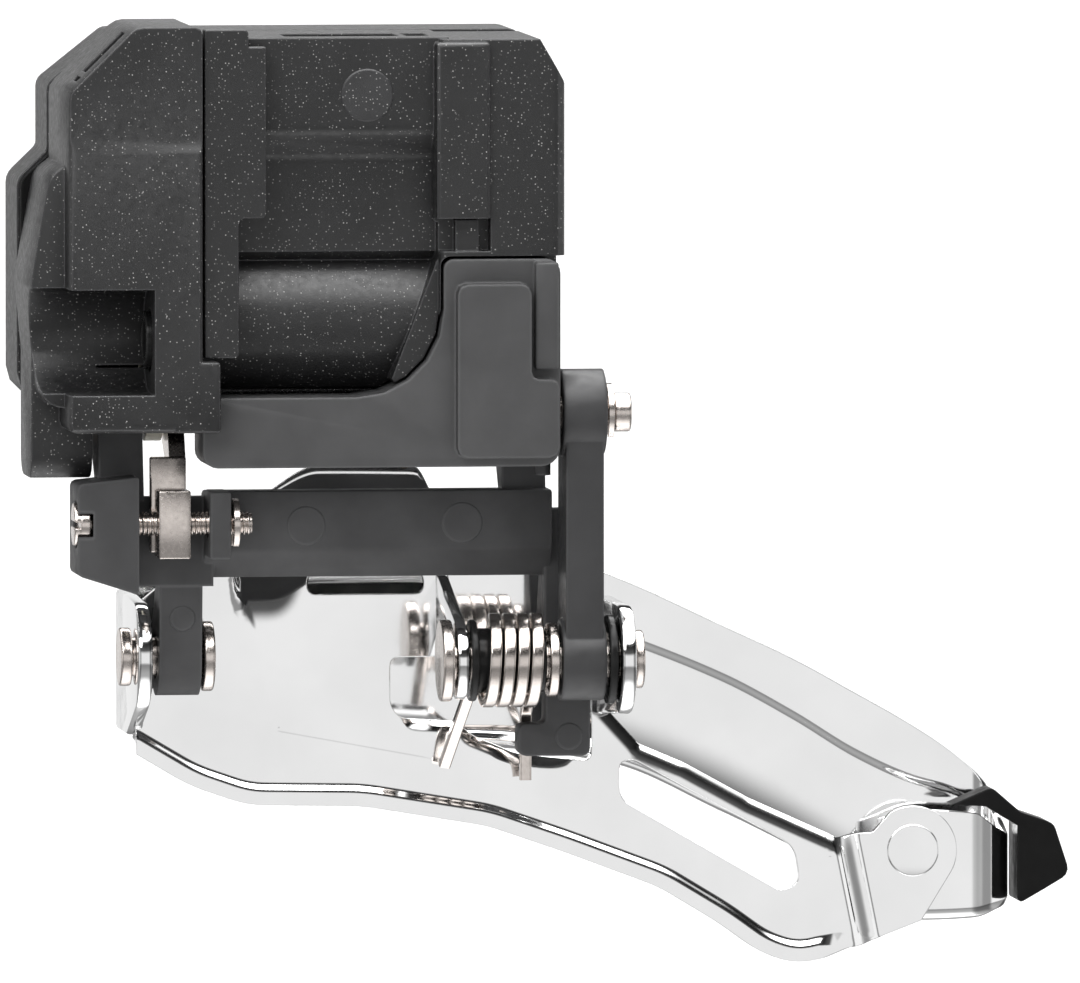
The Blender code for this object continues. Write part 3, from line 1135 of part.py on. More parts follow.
finish(box("chip", (BOARD_X[0] + 6, BOARD_X[0] + 6 + CHIP_SIZE),
           (BOARD_Y - SEAT - CHIP_THICK, BOARD_Y - SEAT),
           (BOARD_Z[0] + 4, BOARD_Z[0] + 4 + CHIP_SIZE)), "controller_chip", "black_plastic")
finish(rod("idler", idler_centre(), (SECTOR_X[0] - SEAT, CASE_LEFT + WALL), IDLER_RADIUS, count=12),
       "idler_pin", "steel")
finish(ring("bush", LINK_TOP, (SHAFT_X[0] + 0.5, FOOT_X[1]), BUSH_RADIUS, BORE_RADIUS),
       "shaft_bush_left", "bronze")
finish(ring("bush", LINK_TOP, SHAFT_LUG_X, BUSH_RADIUS, BORE_RADIUS), "shaft_bush_right", "bronze")
GROOVE_X = (ARM_X[1] + SEAT, ARM_X[1] + SEAT + RING_THICK)
finish(turned("pin", ARM_TOP, [
    (UPPER_PIN_SEAT, PIN_RADIUS), (GROOVE_X[0] - SEAT / 2, PIN_RADIUS),
    (GROOVE_X[0] - SEAT / 2, PIN_RADIUS - RING_GROOVE),
    (GROOVE_X[1] + SEAT / 2, PIN_RADIUS - RING_GROOVE), (GROOVE_X[1] + SEAT / 2, PIN_RADIUS),
    (UPPER_PIN_END - 0.5, PIN_RADIUS), (UPPER_PIN_END, PIN_RADIUS - 0.5)]), "upper_pin", "steel")
finish(e_ring("ring", ARM_TOP, GROOVE_X, 3.0, PIN_RADIUS - RING_GROOVE + SEAT / 2), "upper_e_ring",
       "nickel")
finish(rod("peg", (PEG_X, ARM_Y), (BAR_BOTTOM - PEG_DROP, BAR_BOTTOM + PEG_SEAT - SEAT), PEG_RADIUS,
           axis="Z", count=12),
       "stop_peg", "rubber")

finish(swing_link(), "swing_link", "matte_bracket", LINK)
finish(rod("shaft", LINK_TOP, SHAFT_X, PIN_RADIUS), "output_shaft", "steel", LINK)
finish(drive_arm(), "drive_arm", "nickel", LINK)
finish(sector_gear(), "sector_gear", "steel", LINK)
finish(adjusting_screw(), "adjusting_screw", "nickel", SCREW)
finish(e_ring("ring", (SCREW_Y, SCREW_Z), ring_x(), 2.55, SCREW_RADIUS - RING_GROOVE + SEAT / 2),
       "screw_e_ring", "nickel", SCREW)
finish(adjusting_nut(), "adjusting_nut", "nickel", NUT)
finish(reduction_gear(), "reduction_gear", "gear_plastic", IDLER)
finish(motor_pinion(), "motor_pinion", "steel", ROTOR)
finish(support_arm(), "support_arm", "black_plastic", ARM)

finish(inner_plate(), "cage_inner_plate", "chrome", CAGE)
finish(outer_plate(), "cage_outer_plate", "chrome", CAGE)
finish(rivet("rivet", TAIL_CENTRE, TAIL_Y, TAIL_FLANGE_Y + SHEET), "tail_rivet", "chrome", CAGE)
for number, z in enumerate(FRONT_RIVET_Z, 1):
    finish(rivet("rivet", (FRONT_RIVET_X, z), CAGE_OUTER_Y - SEAT - SHEET, CAGE_OUTER_Y + SHEET),
           f"front_rivet_{number}", "chrome", CAGE)
finish(tail_bumper(), "tail_bumper", "black_plastic", CAGE)
finish(arm_low_pin(), "arm_low_pin", "nickel", CAGE)
finish(link_low_pin(LEG_LEFT_X[1] + SEAT, TAB_LEFT_X[0] - SEAT, 3.6), "link_pin_front", "nickel", CAGE)
finish(link_low_pin(LEG_RIGHT_X[0] - SEAT, TAB_RIGHT_X[1] + SEAT, 3.2), "link_pin_rear", "nickel", CAGE)
finish(spring_bush(), "spring_bush", "black_plastic", CAGE)
finish(ring("disc", ARM_LOW, (ARM_X[0] - SEAT - 1.0, ARM_X[0] - SEAT), DISC_RADIUS, BORE_RADIUS),
       "spring_disc", "nickel", CAGE)
finish(ring("spacer", ARM_LOW, (ARM_X[1] + SEAT, ARM_X[1] + SEAT + SPACER_THICK), 4.6, BORE_RADIUS),
       "arm_spacer", "black_plastic", CAGE)
finish(torsion_spring(), "torsion_spring", "nickel", CAGE)
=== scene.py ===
"""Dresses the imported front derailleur: plated cage, wound spring, turned pins, mouldings and studio."""
import json
import math

import bmesh
import bpy
import numpy as np
from bpy.props import FloatProperty, FloatVectorProperty, PointerProperty
from mathutils import Matrix, Vector
from mathutils.geometry import delaunay_2d_cdt


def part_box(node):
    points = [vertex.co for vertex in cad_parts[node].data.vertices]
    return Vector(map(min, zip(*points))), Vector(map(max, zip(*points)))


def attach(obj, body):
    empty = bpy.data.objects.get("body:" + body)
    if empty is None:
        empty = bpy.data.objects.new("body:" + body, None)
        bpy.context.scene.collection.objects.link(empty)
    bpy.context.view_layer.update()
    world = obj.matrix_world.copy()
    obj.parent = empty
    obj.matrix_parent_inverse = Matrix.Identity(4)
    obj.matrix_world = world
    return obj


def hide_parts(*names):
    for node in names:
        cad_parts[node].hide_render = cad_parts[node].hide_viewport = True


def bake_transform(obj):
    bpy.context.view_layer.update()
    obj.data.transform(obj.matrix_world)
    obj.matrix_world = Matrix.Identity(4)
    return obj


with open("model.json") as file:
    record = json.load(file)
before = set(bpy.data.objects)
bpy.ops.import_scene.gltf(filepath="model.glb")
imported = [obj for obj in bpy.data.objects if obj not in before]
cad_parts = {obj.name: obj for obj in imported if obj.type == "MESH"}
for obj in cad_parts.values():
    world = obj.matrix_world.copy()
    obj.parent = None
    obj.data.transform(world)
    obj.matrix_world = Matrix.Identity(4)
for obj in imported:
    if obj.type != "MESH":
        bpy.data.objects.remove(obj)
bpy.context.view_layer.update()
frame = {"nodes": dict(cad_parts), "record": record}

bl_info = {
    "name": "Front derailleur dressing",
    "version": (1, 0, 0),
    "blender": (4, 5, 0),
    "location": "View3D > Sidebar > Derailleur",
    "description": "Builds the visible surfaces of an electric front derailleur on its packed frame",
    "category": "Object",
}

MM = 0.001


def pivot(name):
    """Where a joint of the frame turns, about an axis along x, as (y, z) in millimetres."""
    for joint in frame["record"]["behaviour"]["joints"]:
        if joint["name"] == name:
            return tuple(round(c / MM, 4) for c in joint["pos_m"][1:])
    raise ValueError("no joint named " + name)


# Pivot centres, as (y, z) in millimetres; the arm hangs parallel to the link.
ARM_TOP = pivot("arm_swing")
LINK_LOW = pivot("cage_pivot")
ARM_LOW = (ARM_TOP[0], LINK_LOW[1])
SCREW_AXIS = pivot("screw_turn")

# Inner cage plate: bend line over the lower lip, rear upper edge, tail and openings, all (x, z). The tail is
# jogged outboard by TAIL_STEP over TAIL_SPAN of x, on a line that leans by TAIL_LEAN about TAIL_LEVEL of z.
INNER_Y = 20.5
PLATE_FRONT = -34.4
INNER_FOOT = ((PLATE_FRONT, -38.0), (-28.0, -41.8), (-22.5, -43.7), (-10.8, -43.9), (2.5, -46.1),
              (10.6, -48.9), (20.7, -52.7), (27.3, -56.7), (31.3, -59.6), (34.4, -60.6), (39.4, -59.4))
FOOT_CORNER = 1.6
INNER_HEAD = ((38.6, -49.6), (29.3, -45.4), (22.6, -41.7), (17.9, -39.7), (14.5, -36.0))
INNER_CROWN = ((14.35, -25.3), (9.6, -20.6), (-29.0, -20.6), (PLATE_FRONT, -25.0))
LIP_RUN = (-34.2, 36.5)
LIP_STOP = 37.6
TAIL_FOOT = ((39.6, -61.0), (43.2, -60.4), (47.9, -58.6))
TAIL_NECK = (42.8, -49.4)
TAIL_CENTRE = (47.0, -51.3)
TAIL_RADIUS = 4.6
TAIL_ARC = (-30, 120)
TAIL_STEP = 4.7
TAIL_SPAN = (38.9, 42.3)
TAIL_LEAN = 0.20
TAIL_LEVEL = -54.0
TOP_SLOT = ((-16.6, -24.0), (-4.5, -24.0), (-4.5, -21.8), (-16.6, -21.8))
SPRING_WINDOW = ((-8.0, -30.5), (-8.0, -35.5), (-7.0, -36.8), (-1.0, -37.2), (0.4, -38.6), (5.2, -40.6),
                 (12.9, -41.4), (12.9, -30.5))
WINDOW_SILL = SPRING_WINDOW[2:7]
PANEL_LINE = ((-24.2, -21.5), (-22.0, -27.5), (-19.9, -38.0), (-4.3, -40.9), (8.0, -44.0))
REAR_WINDOW = ((15.8, -41.6), (15.8, -45.4), (32.6, -55.1), (34.6, -54.2), (34.0, -50.4), (17.2, -41.2))
OPENINGS = ((TOP_SLOT, 1.09), (SPRING_WINDOW, 1.0), (REAR_WINDOW, 1.4))

# Ears that the pins pass through: name, span along x, soft edge, round ends, and root as spans of y and z.
EARS = (
    ("left_ear", (-35.2, -33.7), 0.35, ((LINK_LOW, 5.6),), ((22.5, 32.1), (-38.4, -24.0))),
    ("right_ear", (13.6, 15.1), 0.35, ((ARM_LOW, 5.6), (LINK_LOW, 5.6)), ((20.7, 21.1), (-36.5, -24.3))),
    ("middle_ear", (-3.2, -2.0), 0.3, ((ARM_LOW, 4.0),), ((20.7, 21.1), (-27.9, -21.9))),
)
FRONT_FLANGE = ((-34.7, -26.5), (-36.5, -25.5))
FRONT_FLANGE_SPAN = (31.3, 32.3)

# Points of the inner plate: spacings, and how far from each line its closer rows run. ROW_RISE is the height
# of an even triangle of side 1, and LEAST_TRIANGLE is twice the area of the smallest triangle kept.
SCATTER_X = (-35.0, 53.0)
SCATTER_Z = (-64.0, -19.0)
SCATTER_STEP = 0.75
ROW_RISE = 0.866
ROW_CLEAR = 0.3
EDGE_CLEAR = 0.22
OUTLINE_STEP = 0.42
OPENING_STEP = 0.36
LEAST_TRIANGLE = 0.004
FOOT_RUN = (-34.1, 36.4)
FOOT_ROWS = (1.0, 0.7, 0.45, 0.27, 0.09, -0.09, -0.27, -0.46, -0.65, -0.9, -1.3)
PANEL_ROWS = (-0.45, -0.3, -0.15, 0.0, 0.15, 0.3, 0.45)
HEAD_ROWS = (0.35, 0.7, 1.05, 1.4, 1.75, 2.1, 2.45)
SILL_ROWS = (-0.35, -0.7, -1.05, -1.4)
TAIL_ROWS_X = (38.0, 44.0)
TAIL_ROWS_Z = (-61.0, -48.0)
TAIL_MIDDLE = 41.1
TAIL_CLEAR = 3.3

# Soft forms of the sheets: turned edges as (depth, width), curves as millimetres per square millimetre.
SILL_TURN = (0.5, 1.6)
HEAD_TURN = (0.6, 2.2)
DENT_FOOT = -29.5
DENT_CURVE = 0.022
OUTER_LEAN = 0.0075
CREASE_REACH = 1.3
CREASE_SPREAD = 1.8
FOOT_DROP = 0.9
FOOT_TURN = 2.2
FLANGE_LEAST = 0.02
FLANGE_CURVE = 1.2
OUTER_BEVEL = 0.14

# Steps across their lines, from below to above, and the stretches of x over which forms ease in and out.
LIP_RISE = (-0.45, 0.65)
LIP_END = (36.5, 41.0)
PANEL_RISE = (-0.3, 0.3)
PANEL_END = (-6.0, 8.0)
DENT_START, DENT_END = (-24.6, -23.0), (-20.5, -14.0)
SILL_START, SILL_END = (-7.6, -5.0), (8.0, 12.0)
JOGGLE_RISE = (-0.45, 0.45)
JOGGLE_END = (51.0, 55.0)
LEAN_START, LEAN_END = (0.0, 14.0), (44.0, 50.0)
FLANGE_START, FLANGE_END = (-33.0, -30.0), (46.0, 52.0)

# Outer cage plate, row by row from the front: x, y, then top edge, crease and foot as z.
OUTER_ROWS = ((-33.4, 32.6, -24.0, -27.0, -36.0), (-27.0, 32.6, -19.5, -26.0, -37.5),
              (-19.4, 32.6, -14.2, -24.0, -38.0), (-14.0, 32.6, -11.4, -23.0, -38.0),
              (-4.0, 32.6, -11.6, -23.0, -38.4), (-1.8, 32.6, -15.0, -23.5, -38.6),
              (4.0, 32.6, -18.6, -25.0, -38.8), (16.3, 32.6, -22.9, -29.0, -40.5),
              (28.1, 32.6, -28.3, -33.7, -45.7), (35.5, 32.6, -31.8, -37.7, -49.4),
              (42.0, 32.6, -35.4, -41.7, -53.0), (47.6, 32.6, -38.6, -44.3, -55.0),
              (52.4, 32.6, -41.9, -45.8, -55.6), (55.0, 32.0, -44.6, -47.6, -55.8),
              (56.2, 31.0, -48.4, -50.6, -55.8), (56.5, 29.6, -50.0, -51.6, -55.6),
              (55.6, 28.1, -49.2, -51.0, -56.0), (53.6, 27.5, -47.6, -49.8, -56.6),
              (48.0, 27.5, -47.2, -49.4, -56.8), (43.6, 27.5, -48.0, -50.0, -55.4))

# Turned pieces: node, axis, centre across the axis, profile as (place along the axis, radius), and the
# radius that softens the profile's corners.
PIN_SOFT = 0.28
RING_SOFT = 0.18
FRONT_RIVET = ((30.3, 0), (30.3, 2.6), (31.0, 2.6), (31.0, 1.2), (33.9, 1.2), (33.9, 2.6), (34.6, 2.4),
               (34.6, 0))
PINS = (
    ("arm_low_pin", "X", ARM_LOW, ((-4.7, 0), (-4.7, 4.2), (-3.5, 4.2), (-3.5, 2.0), (15.4, 2.0),
                                   (15.4, 3.0), (16.3, 3.0), (16.3, 0))),
    ("link_pin_front", "X", LINK_LOW, ((-36.7, 0), (-36.7, 3.0), (-35.5, 3.0), (-35.5, 2.0), (-28.2, 2.0),
                                       (-28.2, 3.6), (-27.0, 3.6), (-27.0, 0))),
    ("link_pin_rear", "X", LINK_LOW, ((5.4, 0), (5.4, 3.2), (6.6, 3.2), (6.6, 2.0), (15.4, 2.0),
                                      (15.4, 3.0), (16.6, 3.0), (16.6, 0))),
    ("upper_pin", "X", ARM_TOP, ((-2.4, 0), (-2.4, 2.0), (12.35, 2.0), (12.35, 1.55), (13.25, 1.55),
                                 (13.25, 2.0), (15.0, 2.0), (15.0, 1.0), (14.7, 0.8), (14.7, 0))),
    ("tail_rivet", "Y", TAIL_CENTRE, ((25.06, 0), (25.06, 2.62), (25.14, 2.7), (25.3, 2.7), (25.3, 1.2),
                                      (27.8, 1.2), (27.8, 2.6), (28.5, 2.4), (28.5, 0))),
    ("front_rivet_1", "Y", (-30.0, -34.0), FRONT_RIVET),
    ("front_rivet_2", "Y", (-30.0, -28.0), FRONT_RIVET),
)
RINGS = (
    ("spring_bush", "X", ARM_LOW, ((-1.7, 2.3), (-1.7, 4.2), (-1.0, 4.2), (-1.0, 3.3), (6.1, 3.3),
                                   (6.1, 2.3))),
    ("spring_disc", "X", ARM_LOW, ((6.4, 2.3), (6.4, 3.8), (7.4, 3.8), (7.4, 2.3))),
    ("arm_spacer", "X", ARM_LOW, ((12.5, 2.3), (12.5, 4.6), (13.3, 4.6), (13.3, 2.3))),
)

# Return spring: start of the coil, both legs from the coil outwards, the radius of their corners, and two
# points on the rear leg near the link, which are passed on but bend nothing. The wire's section is a circle
# drawn out to a square by a power.
COIL_START = -0.1
FRONT_CORNER = 1.2
REAR_CORNER = 1.4
WIRE_POWER = 0.36
FRONT_LEG = ((-0.3, 10.45, -31.5), (-2.7, 17.9, -41.5))
REAR_LEG = ((5.66, 10.45, -32.1), (5.66, 17.5, -36.1), (5.66, 17.5, -43.1))
LEG_BEND = ((5.66, 15.5, -31.0), (5.66, 15.5, -36.6))

# Adjusting screw along x: slotted head, its base, and the thread, which runs in and out.
SCREW_HEAD = (-42.3, -41.6)
SCREW_BASE = (-41.7, -40.7)
SCREW_THREAD = (-40.8, -23.9)
HEAD_RADIUS = 2.2
SLOT_ANGLE = 8.0
THREAD_RADIUS = 1.25
THREAD_RUN_IN = 0.3
THREAD_RUN_OUT = 0.5

# Bare round marks left by the mould: name, body, centre on the face, radius; they stand proud and are set in.
MARK_RISE = 0.10
MARK_BED = 0.2
MOULD_MARKS = (
    ("mark_case", "base", (-12.4, 3.0, 28.3), 2.8),
    ("mark_link_left", "link", (-17.96, 9.6, -16.2), 2.1),
    ("mark_link_right", "link", (-1.84, 9.6, -16.0), 2.2),
    ("mark_leg", "link", (-30.57, 11.15, -25.7), 1.4),
    ("mark_hook", "link", (9.6, 12.6, -38.3), 1.5),
)

NODE_FINISHES = {
    "case": ("motor_case", "gearbox_cover", "outer_cover", "case_rail"),
    "bracket": ("base_bracket",),
    "link": ("swing_link",),
    "arm": ("support_arm", "stop_peg"),
    "nickel": ("adjusting_nut", "drive_arm", "screw_e_ring", "upper_e_ring", "contact_pin_1",
               "contact_pin_2"),
    "steel": ("output_shaft", "idler_pin", "motor_can"),
    "bronze": ("shaft_bush_left", "shaft_bush_right"),
    "rubber": ("tail_bumper",),
    "black": ("plug_socket", "controller_chip", "motor_end_cap"),
    "board": ("circuit_board",),
    "gear": ("sector_gear", "reduction_gear", "motor_pinion"),
}
CRISP_NODES = ("motor_case", "case_rail", "outer_cover")

# Degrees past which an edge is shaded sharp.
CRISP_ANGLE = 19.0
SLAB_ANGLE = 30.0
SMOOTH_ANGLE = 32.0
TURNED_ANGLE = 50.0
THREAD_ANGLE = 60.0

# What the plating mirrors: (place from one end of the axis to the other, brightness).
SHINE_BY_HEIGHT = ((0.0, 2.5), (0.10, 1.6), (0.2, 0.5), (0.375, 0.30), (0.425, 1.0), (0.575, 1.0),
                   (0.64, 0.10), (0.74, 0.03), (0.78, 0.10), (0.82, 6.5), (0.88, 6.5), (0.92, 4.2),
                   (1.0, 6.0))
SHINE_BY_SIDE = ((0.0, 1.0), (0.10, 0.9), (0.16, 0.3), (0.26, 0.3), (0.33, 0.88), (0.70, 0.89), (0.76, 0.3),
                 (0.85, 0.3), (0.92, 1.0))

# Stage, in metres: what the camera looks at (right and up of the origin), half the floor, what the panels
# light, and the panels as name, place, size and the setting that holds their power.
AIM = (0.005, -0.0122)
SENSOR = 36.0
FAR_CLIP = 100.0
FLOOR_REACH = 15.0
LIT_POINT = (0.0, 0.01, -0.01)
PANELS = (
    ("key_panel", (-0.9, -1.3, 1.1), (0.9, 0.9), "key_power"),
    ("top_panel", (0.2, -0.1, 1.5), (1.4, 1.0), "top_power"),
)
WHITE = (1.0, 1.0, 1.0, 1.0)

# Sockets of the Mix node when it mixes colours.
MIX_SHARE, MIX_A, MIX_B, MIX_RESULT = 0, 6, 7, 2


def body_of_node(node):
    """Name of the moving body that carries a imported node."""
    for body, nodes in frame["record"]["behaviour"]["bodies"].items():
        if node in nodes:
            return body
    raise ValueError("no body carries " + node)


def smoothstep(low, high, value):
    """0 below low, 1 above high, and 3t^2 - 2t^3 between them."""
    t = np.clip((value - low) / (high - low), 0.0, 1.0)
    return t * t * (3.0 - 2.0 * t)


def stretch(start, end, value):
    """1 between two ends, eased in over start and out over end by smoothstep."""
    return smoothstep(*start, value) * (1.0 - smoothstep(*end, value))


def round_line(points, radius, steps=5):
    """Open line with round corners: each corner is the curve (1-t)^2 a + 2t(1-t) p + t^2 b."""
    p = np.asarray(points, float)
    middle = p[1:-1]
    back = p[:-2] - middle
    ahead = p[2:] - middle
    back_length = np.linalg.norm(back, axis=1, keepdims=True)
    ahead_length = np.linalg.norm(ahead, axis=1, keepdims=True)
    reach = np.minimum(radius, 0.45 * np.minimum(back_length, ahead_length))
    a = (middle + back / back_length * reach)[:, None]
    b = (middle + ahead / ahead_length * reach)[:, None]
    t = np.linspace(0.0, 1.0, steps)[None, :, None]
    arcs = (1 - t) ** 2 * a + 2 * t * (1 - t) * middle[:, None] + t ** 2 * b
    return np.vstack([p[:1], arcs.reshape(-1, p.shape[1]), p[-1:]])


def round_loop(points, radius, steps=6):
    """Closed outline with round corners, by the same curve at each corner."""
    p = np.asarray(points, float)
    line = np.vstack([p[-1:], p, p[:1]])
    return round_line(line, radius, steps)[1:-1]


def resample(line, spacing, closed=True):
    """Line walked at an even step close to spacing; a closed one comes back to its start."""
    p = np.asarray(line, float)
    p = np.vstack([p, p[:1]]) if closed else p
    place = np.concatenate([[0.0], np.cumsum(np.linalg.norm(np.diff(p, axis=0), axis=1))])
    even = np.linspace(0.0, place[-1], int(place[-1] / spacing), endpoint=not closed)
    return np.stack([np.interp(even, place, p[:, 0]), np.interp(even, place, p[:, 1])], axis=1)


def beside(line, offsets, spacing=0.35):
    """Points at each given distance to the left of an open line, square to its run."""
    run = resample(line, spacing, False)
    along = np.gradient(run, axis=0)
    along /= np.linalg.norm(along, axis=1, keepdims=True)
    left = np.stack([-along[:, 1], along[:, 0]], axis=1)
    return (run[None] + np.asarray(offsets, float)[:, None, None] * left[None]).reshape(-1, 2)


def inside(points, loop):
    """True for each point that a ray to the right leaves through an odd number of the loop's edges."""
    x, y = points[:, 0][:, None], points[:, 1][:, None]
    a, b = loop, np.roll(loop, -1, axis=0)
    straddles = (a[:, 1] > y) != (b[:, 1] > y)
    rise = np.where(b[:, 1] == a[:, 1], 1.0, b[:, 1] - a[:, 1])
    crossing = a[:, 0] + (y - a[:, 1]) * (b[:, 0] - a[:, 0]) / rise
    return np.sum(straddles & (x < crossing), axis=1) % 2 == 1


def distance_to(points, line, closed=True):
    """Least distance from each point to the segments of a line."""
    a = line if closed else line[:-1]
    b = np.roll(line, -1, axis=0) if closed else line[1:]
    along = b - a
    size = np.maximum(np.sum(along * along, axis=1), 1e-12)
    t = np.clip(np.einsum("pij,ij->pi", points[:, None] - a[None], along) / size, 0.0, 1.0)
    near = a[None] + t[..., None] * along[None]
    return np.linalg.norm(points[:, None] - near, axis=2).min(axis=1)


def monotone_rows(rows, count):
    """Rows joined by the cubic that never overshoots, stepped evenly by the plan length."""
    r = np.asarray(rows, float)
    step = np.hypot(np.diff(r[:, 0]), np.diff(r[:, 1]))
    place = np.concatenate([[0.0], np.cumsum(step)])
    slope = np.diff(r, axis=0) / step[:, None]
    product = slope[:-1] * slope[1:]
    total = slope[:-1] + slope[1:]
    mean = np.where(product > 0, 2 * product / np.where(total == 0, 1.0, total), 0.0)
    tangent = np.vstack([slope[:1], mean, slope[-1:]])
    tangent[:, :2] = np.gradient(r[:, :2], place, axis=0)
    u = np.linspace(0.0, place[-1], count)
    cell = np.clip(np.searchsorted(place, u, side="right") - 1, 0, len(step) - 1)
    h = step[cell][:, None]
    t = ((u - place[cell]) / step[cell])[:, None]
    start = (2 * t ** 3 - 3 * t ** 2 + 1) * r[cell] + (t ** 3 - 2 * t ** 2 + t) * h * tangent[cell]
    end = (3 * t ** 2 - 2 * t ** 3) * r[cell + 1] + (t ** 3 - t ** 2) * h * tangent[cell + 1]
    return start + end


def grid_faces(rows, columns, wrap_rows=False, wrap_columns=False):
    """Four-cornered faces of a grid of points, as indices; a wrapped side joins its last to its first."""
    i = np.arange(rows if wrap_rows else rows - 1)
    j = np.arange(columns if wrap_columns else columns - 1)
    i, j = np.meshgrid(i, j, indexing="ij")
    below = (i + 1) % rows
    right = (j + 1) % columns
    corners = [i * columns + j, i * columns + right, below * columns + right, below * columns + j]
    return np.stack(corners, axis=-1).reshape(-1, 4)


def new_mesh(name, points, faces):
    """Mesh from points in millimetres and faces as indices."""
    mesh = bpy.data.meshes.new(name)
    mesh.from_pydata((np.asarray(points) * MM).tolist(), [], [list(f) for f in faces])
    mesh.update()
    return mesh


def seal(mesh):
    """Joins doubled points, drops empty faces and turns a closed shell's faces outwards."""
    merge = 1e-7
    work = bmesh.new()
    work.from_mesh(mesh)
    bmesh.ops.remove_doubles(work, verts=work.verts, dist=merge)
    bmesh.ops.dissolve_degenerate(work, dist=merge, edges=work.edges)
    bmesh.ops.recalc_face_normals(work, faces=work.faces)
    work.to_mesh(mesh)
    work.free()
    return mesh


def shaded(mesh, sharp):
    """The mesh, smooth but for edges past sharp degrees."""
    mesh.shade_smooth()
    mesh.set_sharp_from_angle(angle=math.radians(sharp))
    return mesh


def finished(name, mesh, sharp, thickness=0.0, bevel=0.0):
    """Mesh after a wall thickness and a soft edge in millimetres, smooth but for edges past sharp degrees."""
    item = bpy.data.objects.new(name, mesh)
    bpy.context.scene.collection.objects.link(item)
    if thickness:
        wall = item.modifiers.new("wall", "SOLIDIFY")
        wall.thickness = thickness * MM
        wall.offset = -1.0
        wall.use_even_offset = False
    if bevel:
        edge = item.modifiers.new("edge", "BEVEL")
        edge.width = bevel * MM
        edge.segments = 2
        edge.limit_method = "ANGLE"
        edge.angle_limit = math.radians(40)
        edge.use_clamp_overlap = True
    bpy.context.view_layer.update()
    graph = bpy.context.evaluated_depsgraph_get()
    result = bpy.data.meshes.new_from_object(item.evaluated_get(graph))
    bpy.data.objects.remove(item)
    return shaded(result, sharp)


def joined(name, meshes):
    """One mesh from several."""
    work = bmesh.new()
    for mesh in meshes:
        work.from_mesh(mesh)
    result = bpy.data.meshes.new(name)
    work.to_mesh(result)
    work.free()
    return result


def place(name, mesh, finish, body, nodes=(), slot=None, bend=None):
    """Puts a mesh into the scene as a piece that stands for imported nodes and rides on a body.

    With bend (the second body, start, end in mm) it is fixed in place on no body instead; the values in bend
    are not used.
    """
    item = bpy.data.objects.new(name, mesh)
    bpy.context.scene.collection.objects.link(item)
    mesh.materials.clear()
    mesh.materials.append(material(finish))
    mesh.polygons.foreach_set("material_index", np.zeros(len(mesh.polygons), np.int32))
    if bend:
        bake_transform(item)
    else:
        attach(item, body)
    if nodes:
        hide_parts(*nodes)
    return item


def along_axis(axis, centre, place_along, across, up):
    """Points from their place along an axis and their two offsets across it."""
    if axis == "X":
        return np.stack([place_along, centre[0] + across, centre[1] + up], axis=-1)
    return np.stack([centre[0] + across, place_along, centre[1] + up], axis=-1)


def turned_mesh(name, axis, centre, profile, soft=0.25, count=72, bored=False):
    """Turned surface: (a, r) goes to a along the axis and r (cos t, sin t) across it; corners are soft."""
    line = round_loop(profile, soft, 4) if bored else round_line(profile, soft, 4)
    t = np.linspace(0.0, 2 * np.pi, count, endpoint=False)
    a = np.broadcast_to(line[:, :1], (len(line), count))
    points = along_axis(axis, centre, a, line[:, 1:] * np.cos(t), line[:, 1:] * np.sin(t))
    faces = grid_faces(len(line), count, bored, True)
    return shaded(seal(new_mesh(name, points.reshape(-1, 3), faces)), TURNED_ANGLE)


def slab_mesh(name, axis, outline, span, bevel=0.25):
    """Flat plate: a closed outline carried along an axis, with a soft edge all round."""
    loop = np.asarray(outline, float)
    n = len(loop)
    ends = [along_axis(axis, (0.0, 0.0), np.full(n, s), loop[:, 0], loop[:, 1]) for s in span]
    faces = [list(range(n)), list(range(n, 2 * n))] + grid_faces(2, n, False, True).tolist()
    mesh = seal(new_mesh(name, np.vstack(ends), faces))
    return finished(name, mesh, SLAB_ANGLE, bevel=bevel)


def hull_loop(*groups):
    """Convex outline round groups of points: the furthest point in each of 720 directions, once each."""
    points = np.vstack(groups)
    t = np.linspace(0.0, 2 * np.pi, 720, endpoint=False)
    furthest = np.argmax(points @ np.stack([np.cos(t), np.sin(t)]), axis=0)
    return points[furthest[furthest != np.roll(furthest, 1)]]


def circle_points(centre, radius, count=48):
    """Points on a circle."""
    t = np.linspace(0.0, 2 * np.pi, count, endpoint=False)
    return np.stack([centre[0] + radius * np.cos(t), centre[1] + radius * np.sin(t)], axis=1)


def box_points(first, second):
    """Corners of a rectangle given by its two spans."""
    return np.array([(a, b) for a in first for b in second], float)


def swept_mesh(name, path, section, guide):
    """Section carried along a path: its first axis is the guide's part square to the path."""
    tangent = np.gradient(path, axis=0)
    tangent /= np.linalg.norm(tangent, axis=1, keepdims=True)
    first = guide - (tangent @ guide)[:, None] * tangent
    first /= np.linalg.norm(first, axis=1, keepdims=True)
    second = np.cross(tangent, first)
    points = path[:, None] + section[None, :, :1] * first[:, None] + section[None, :, 1:] * second[:, None]
    n = len(section)
    faces = grid_faces(len(path), n, False, True).tolist()
    faces.append(list(range(n)))
    faces.append(list(range((len(path) - 1) * n, len(path) * n)))
    return shaded(seal(new_mesh(name, points.reshape(-1, 3), faces)), TURNED_ANGLE)


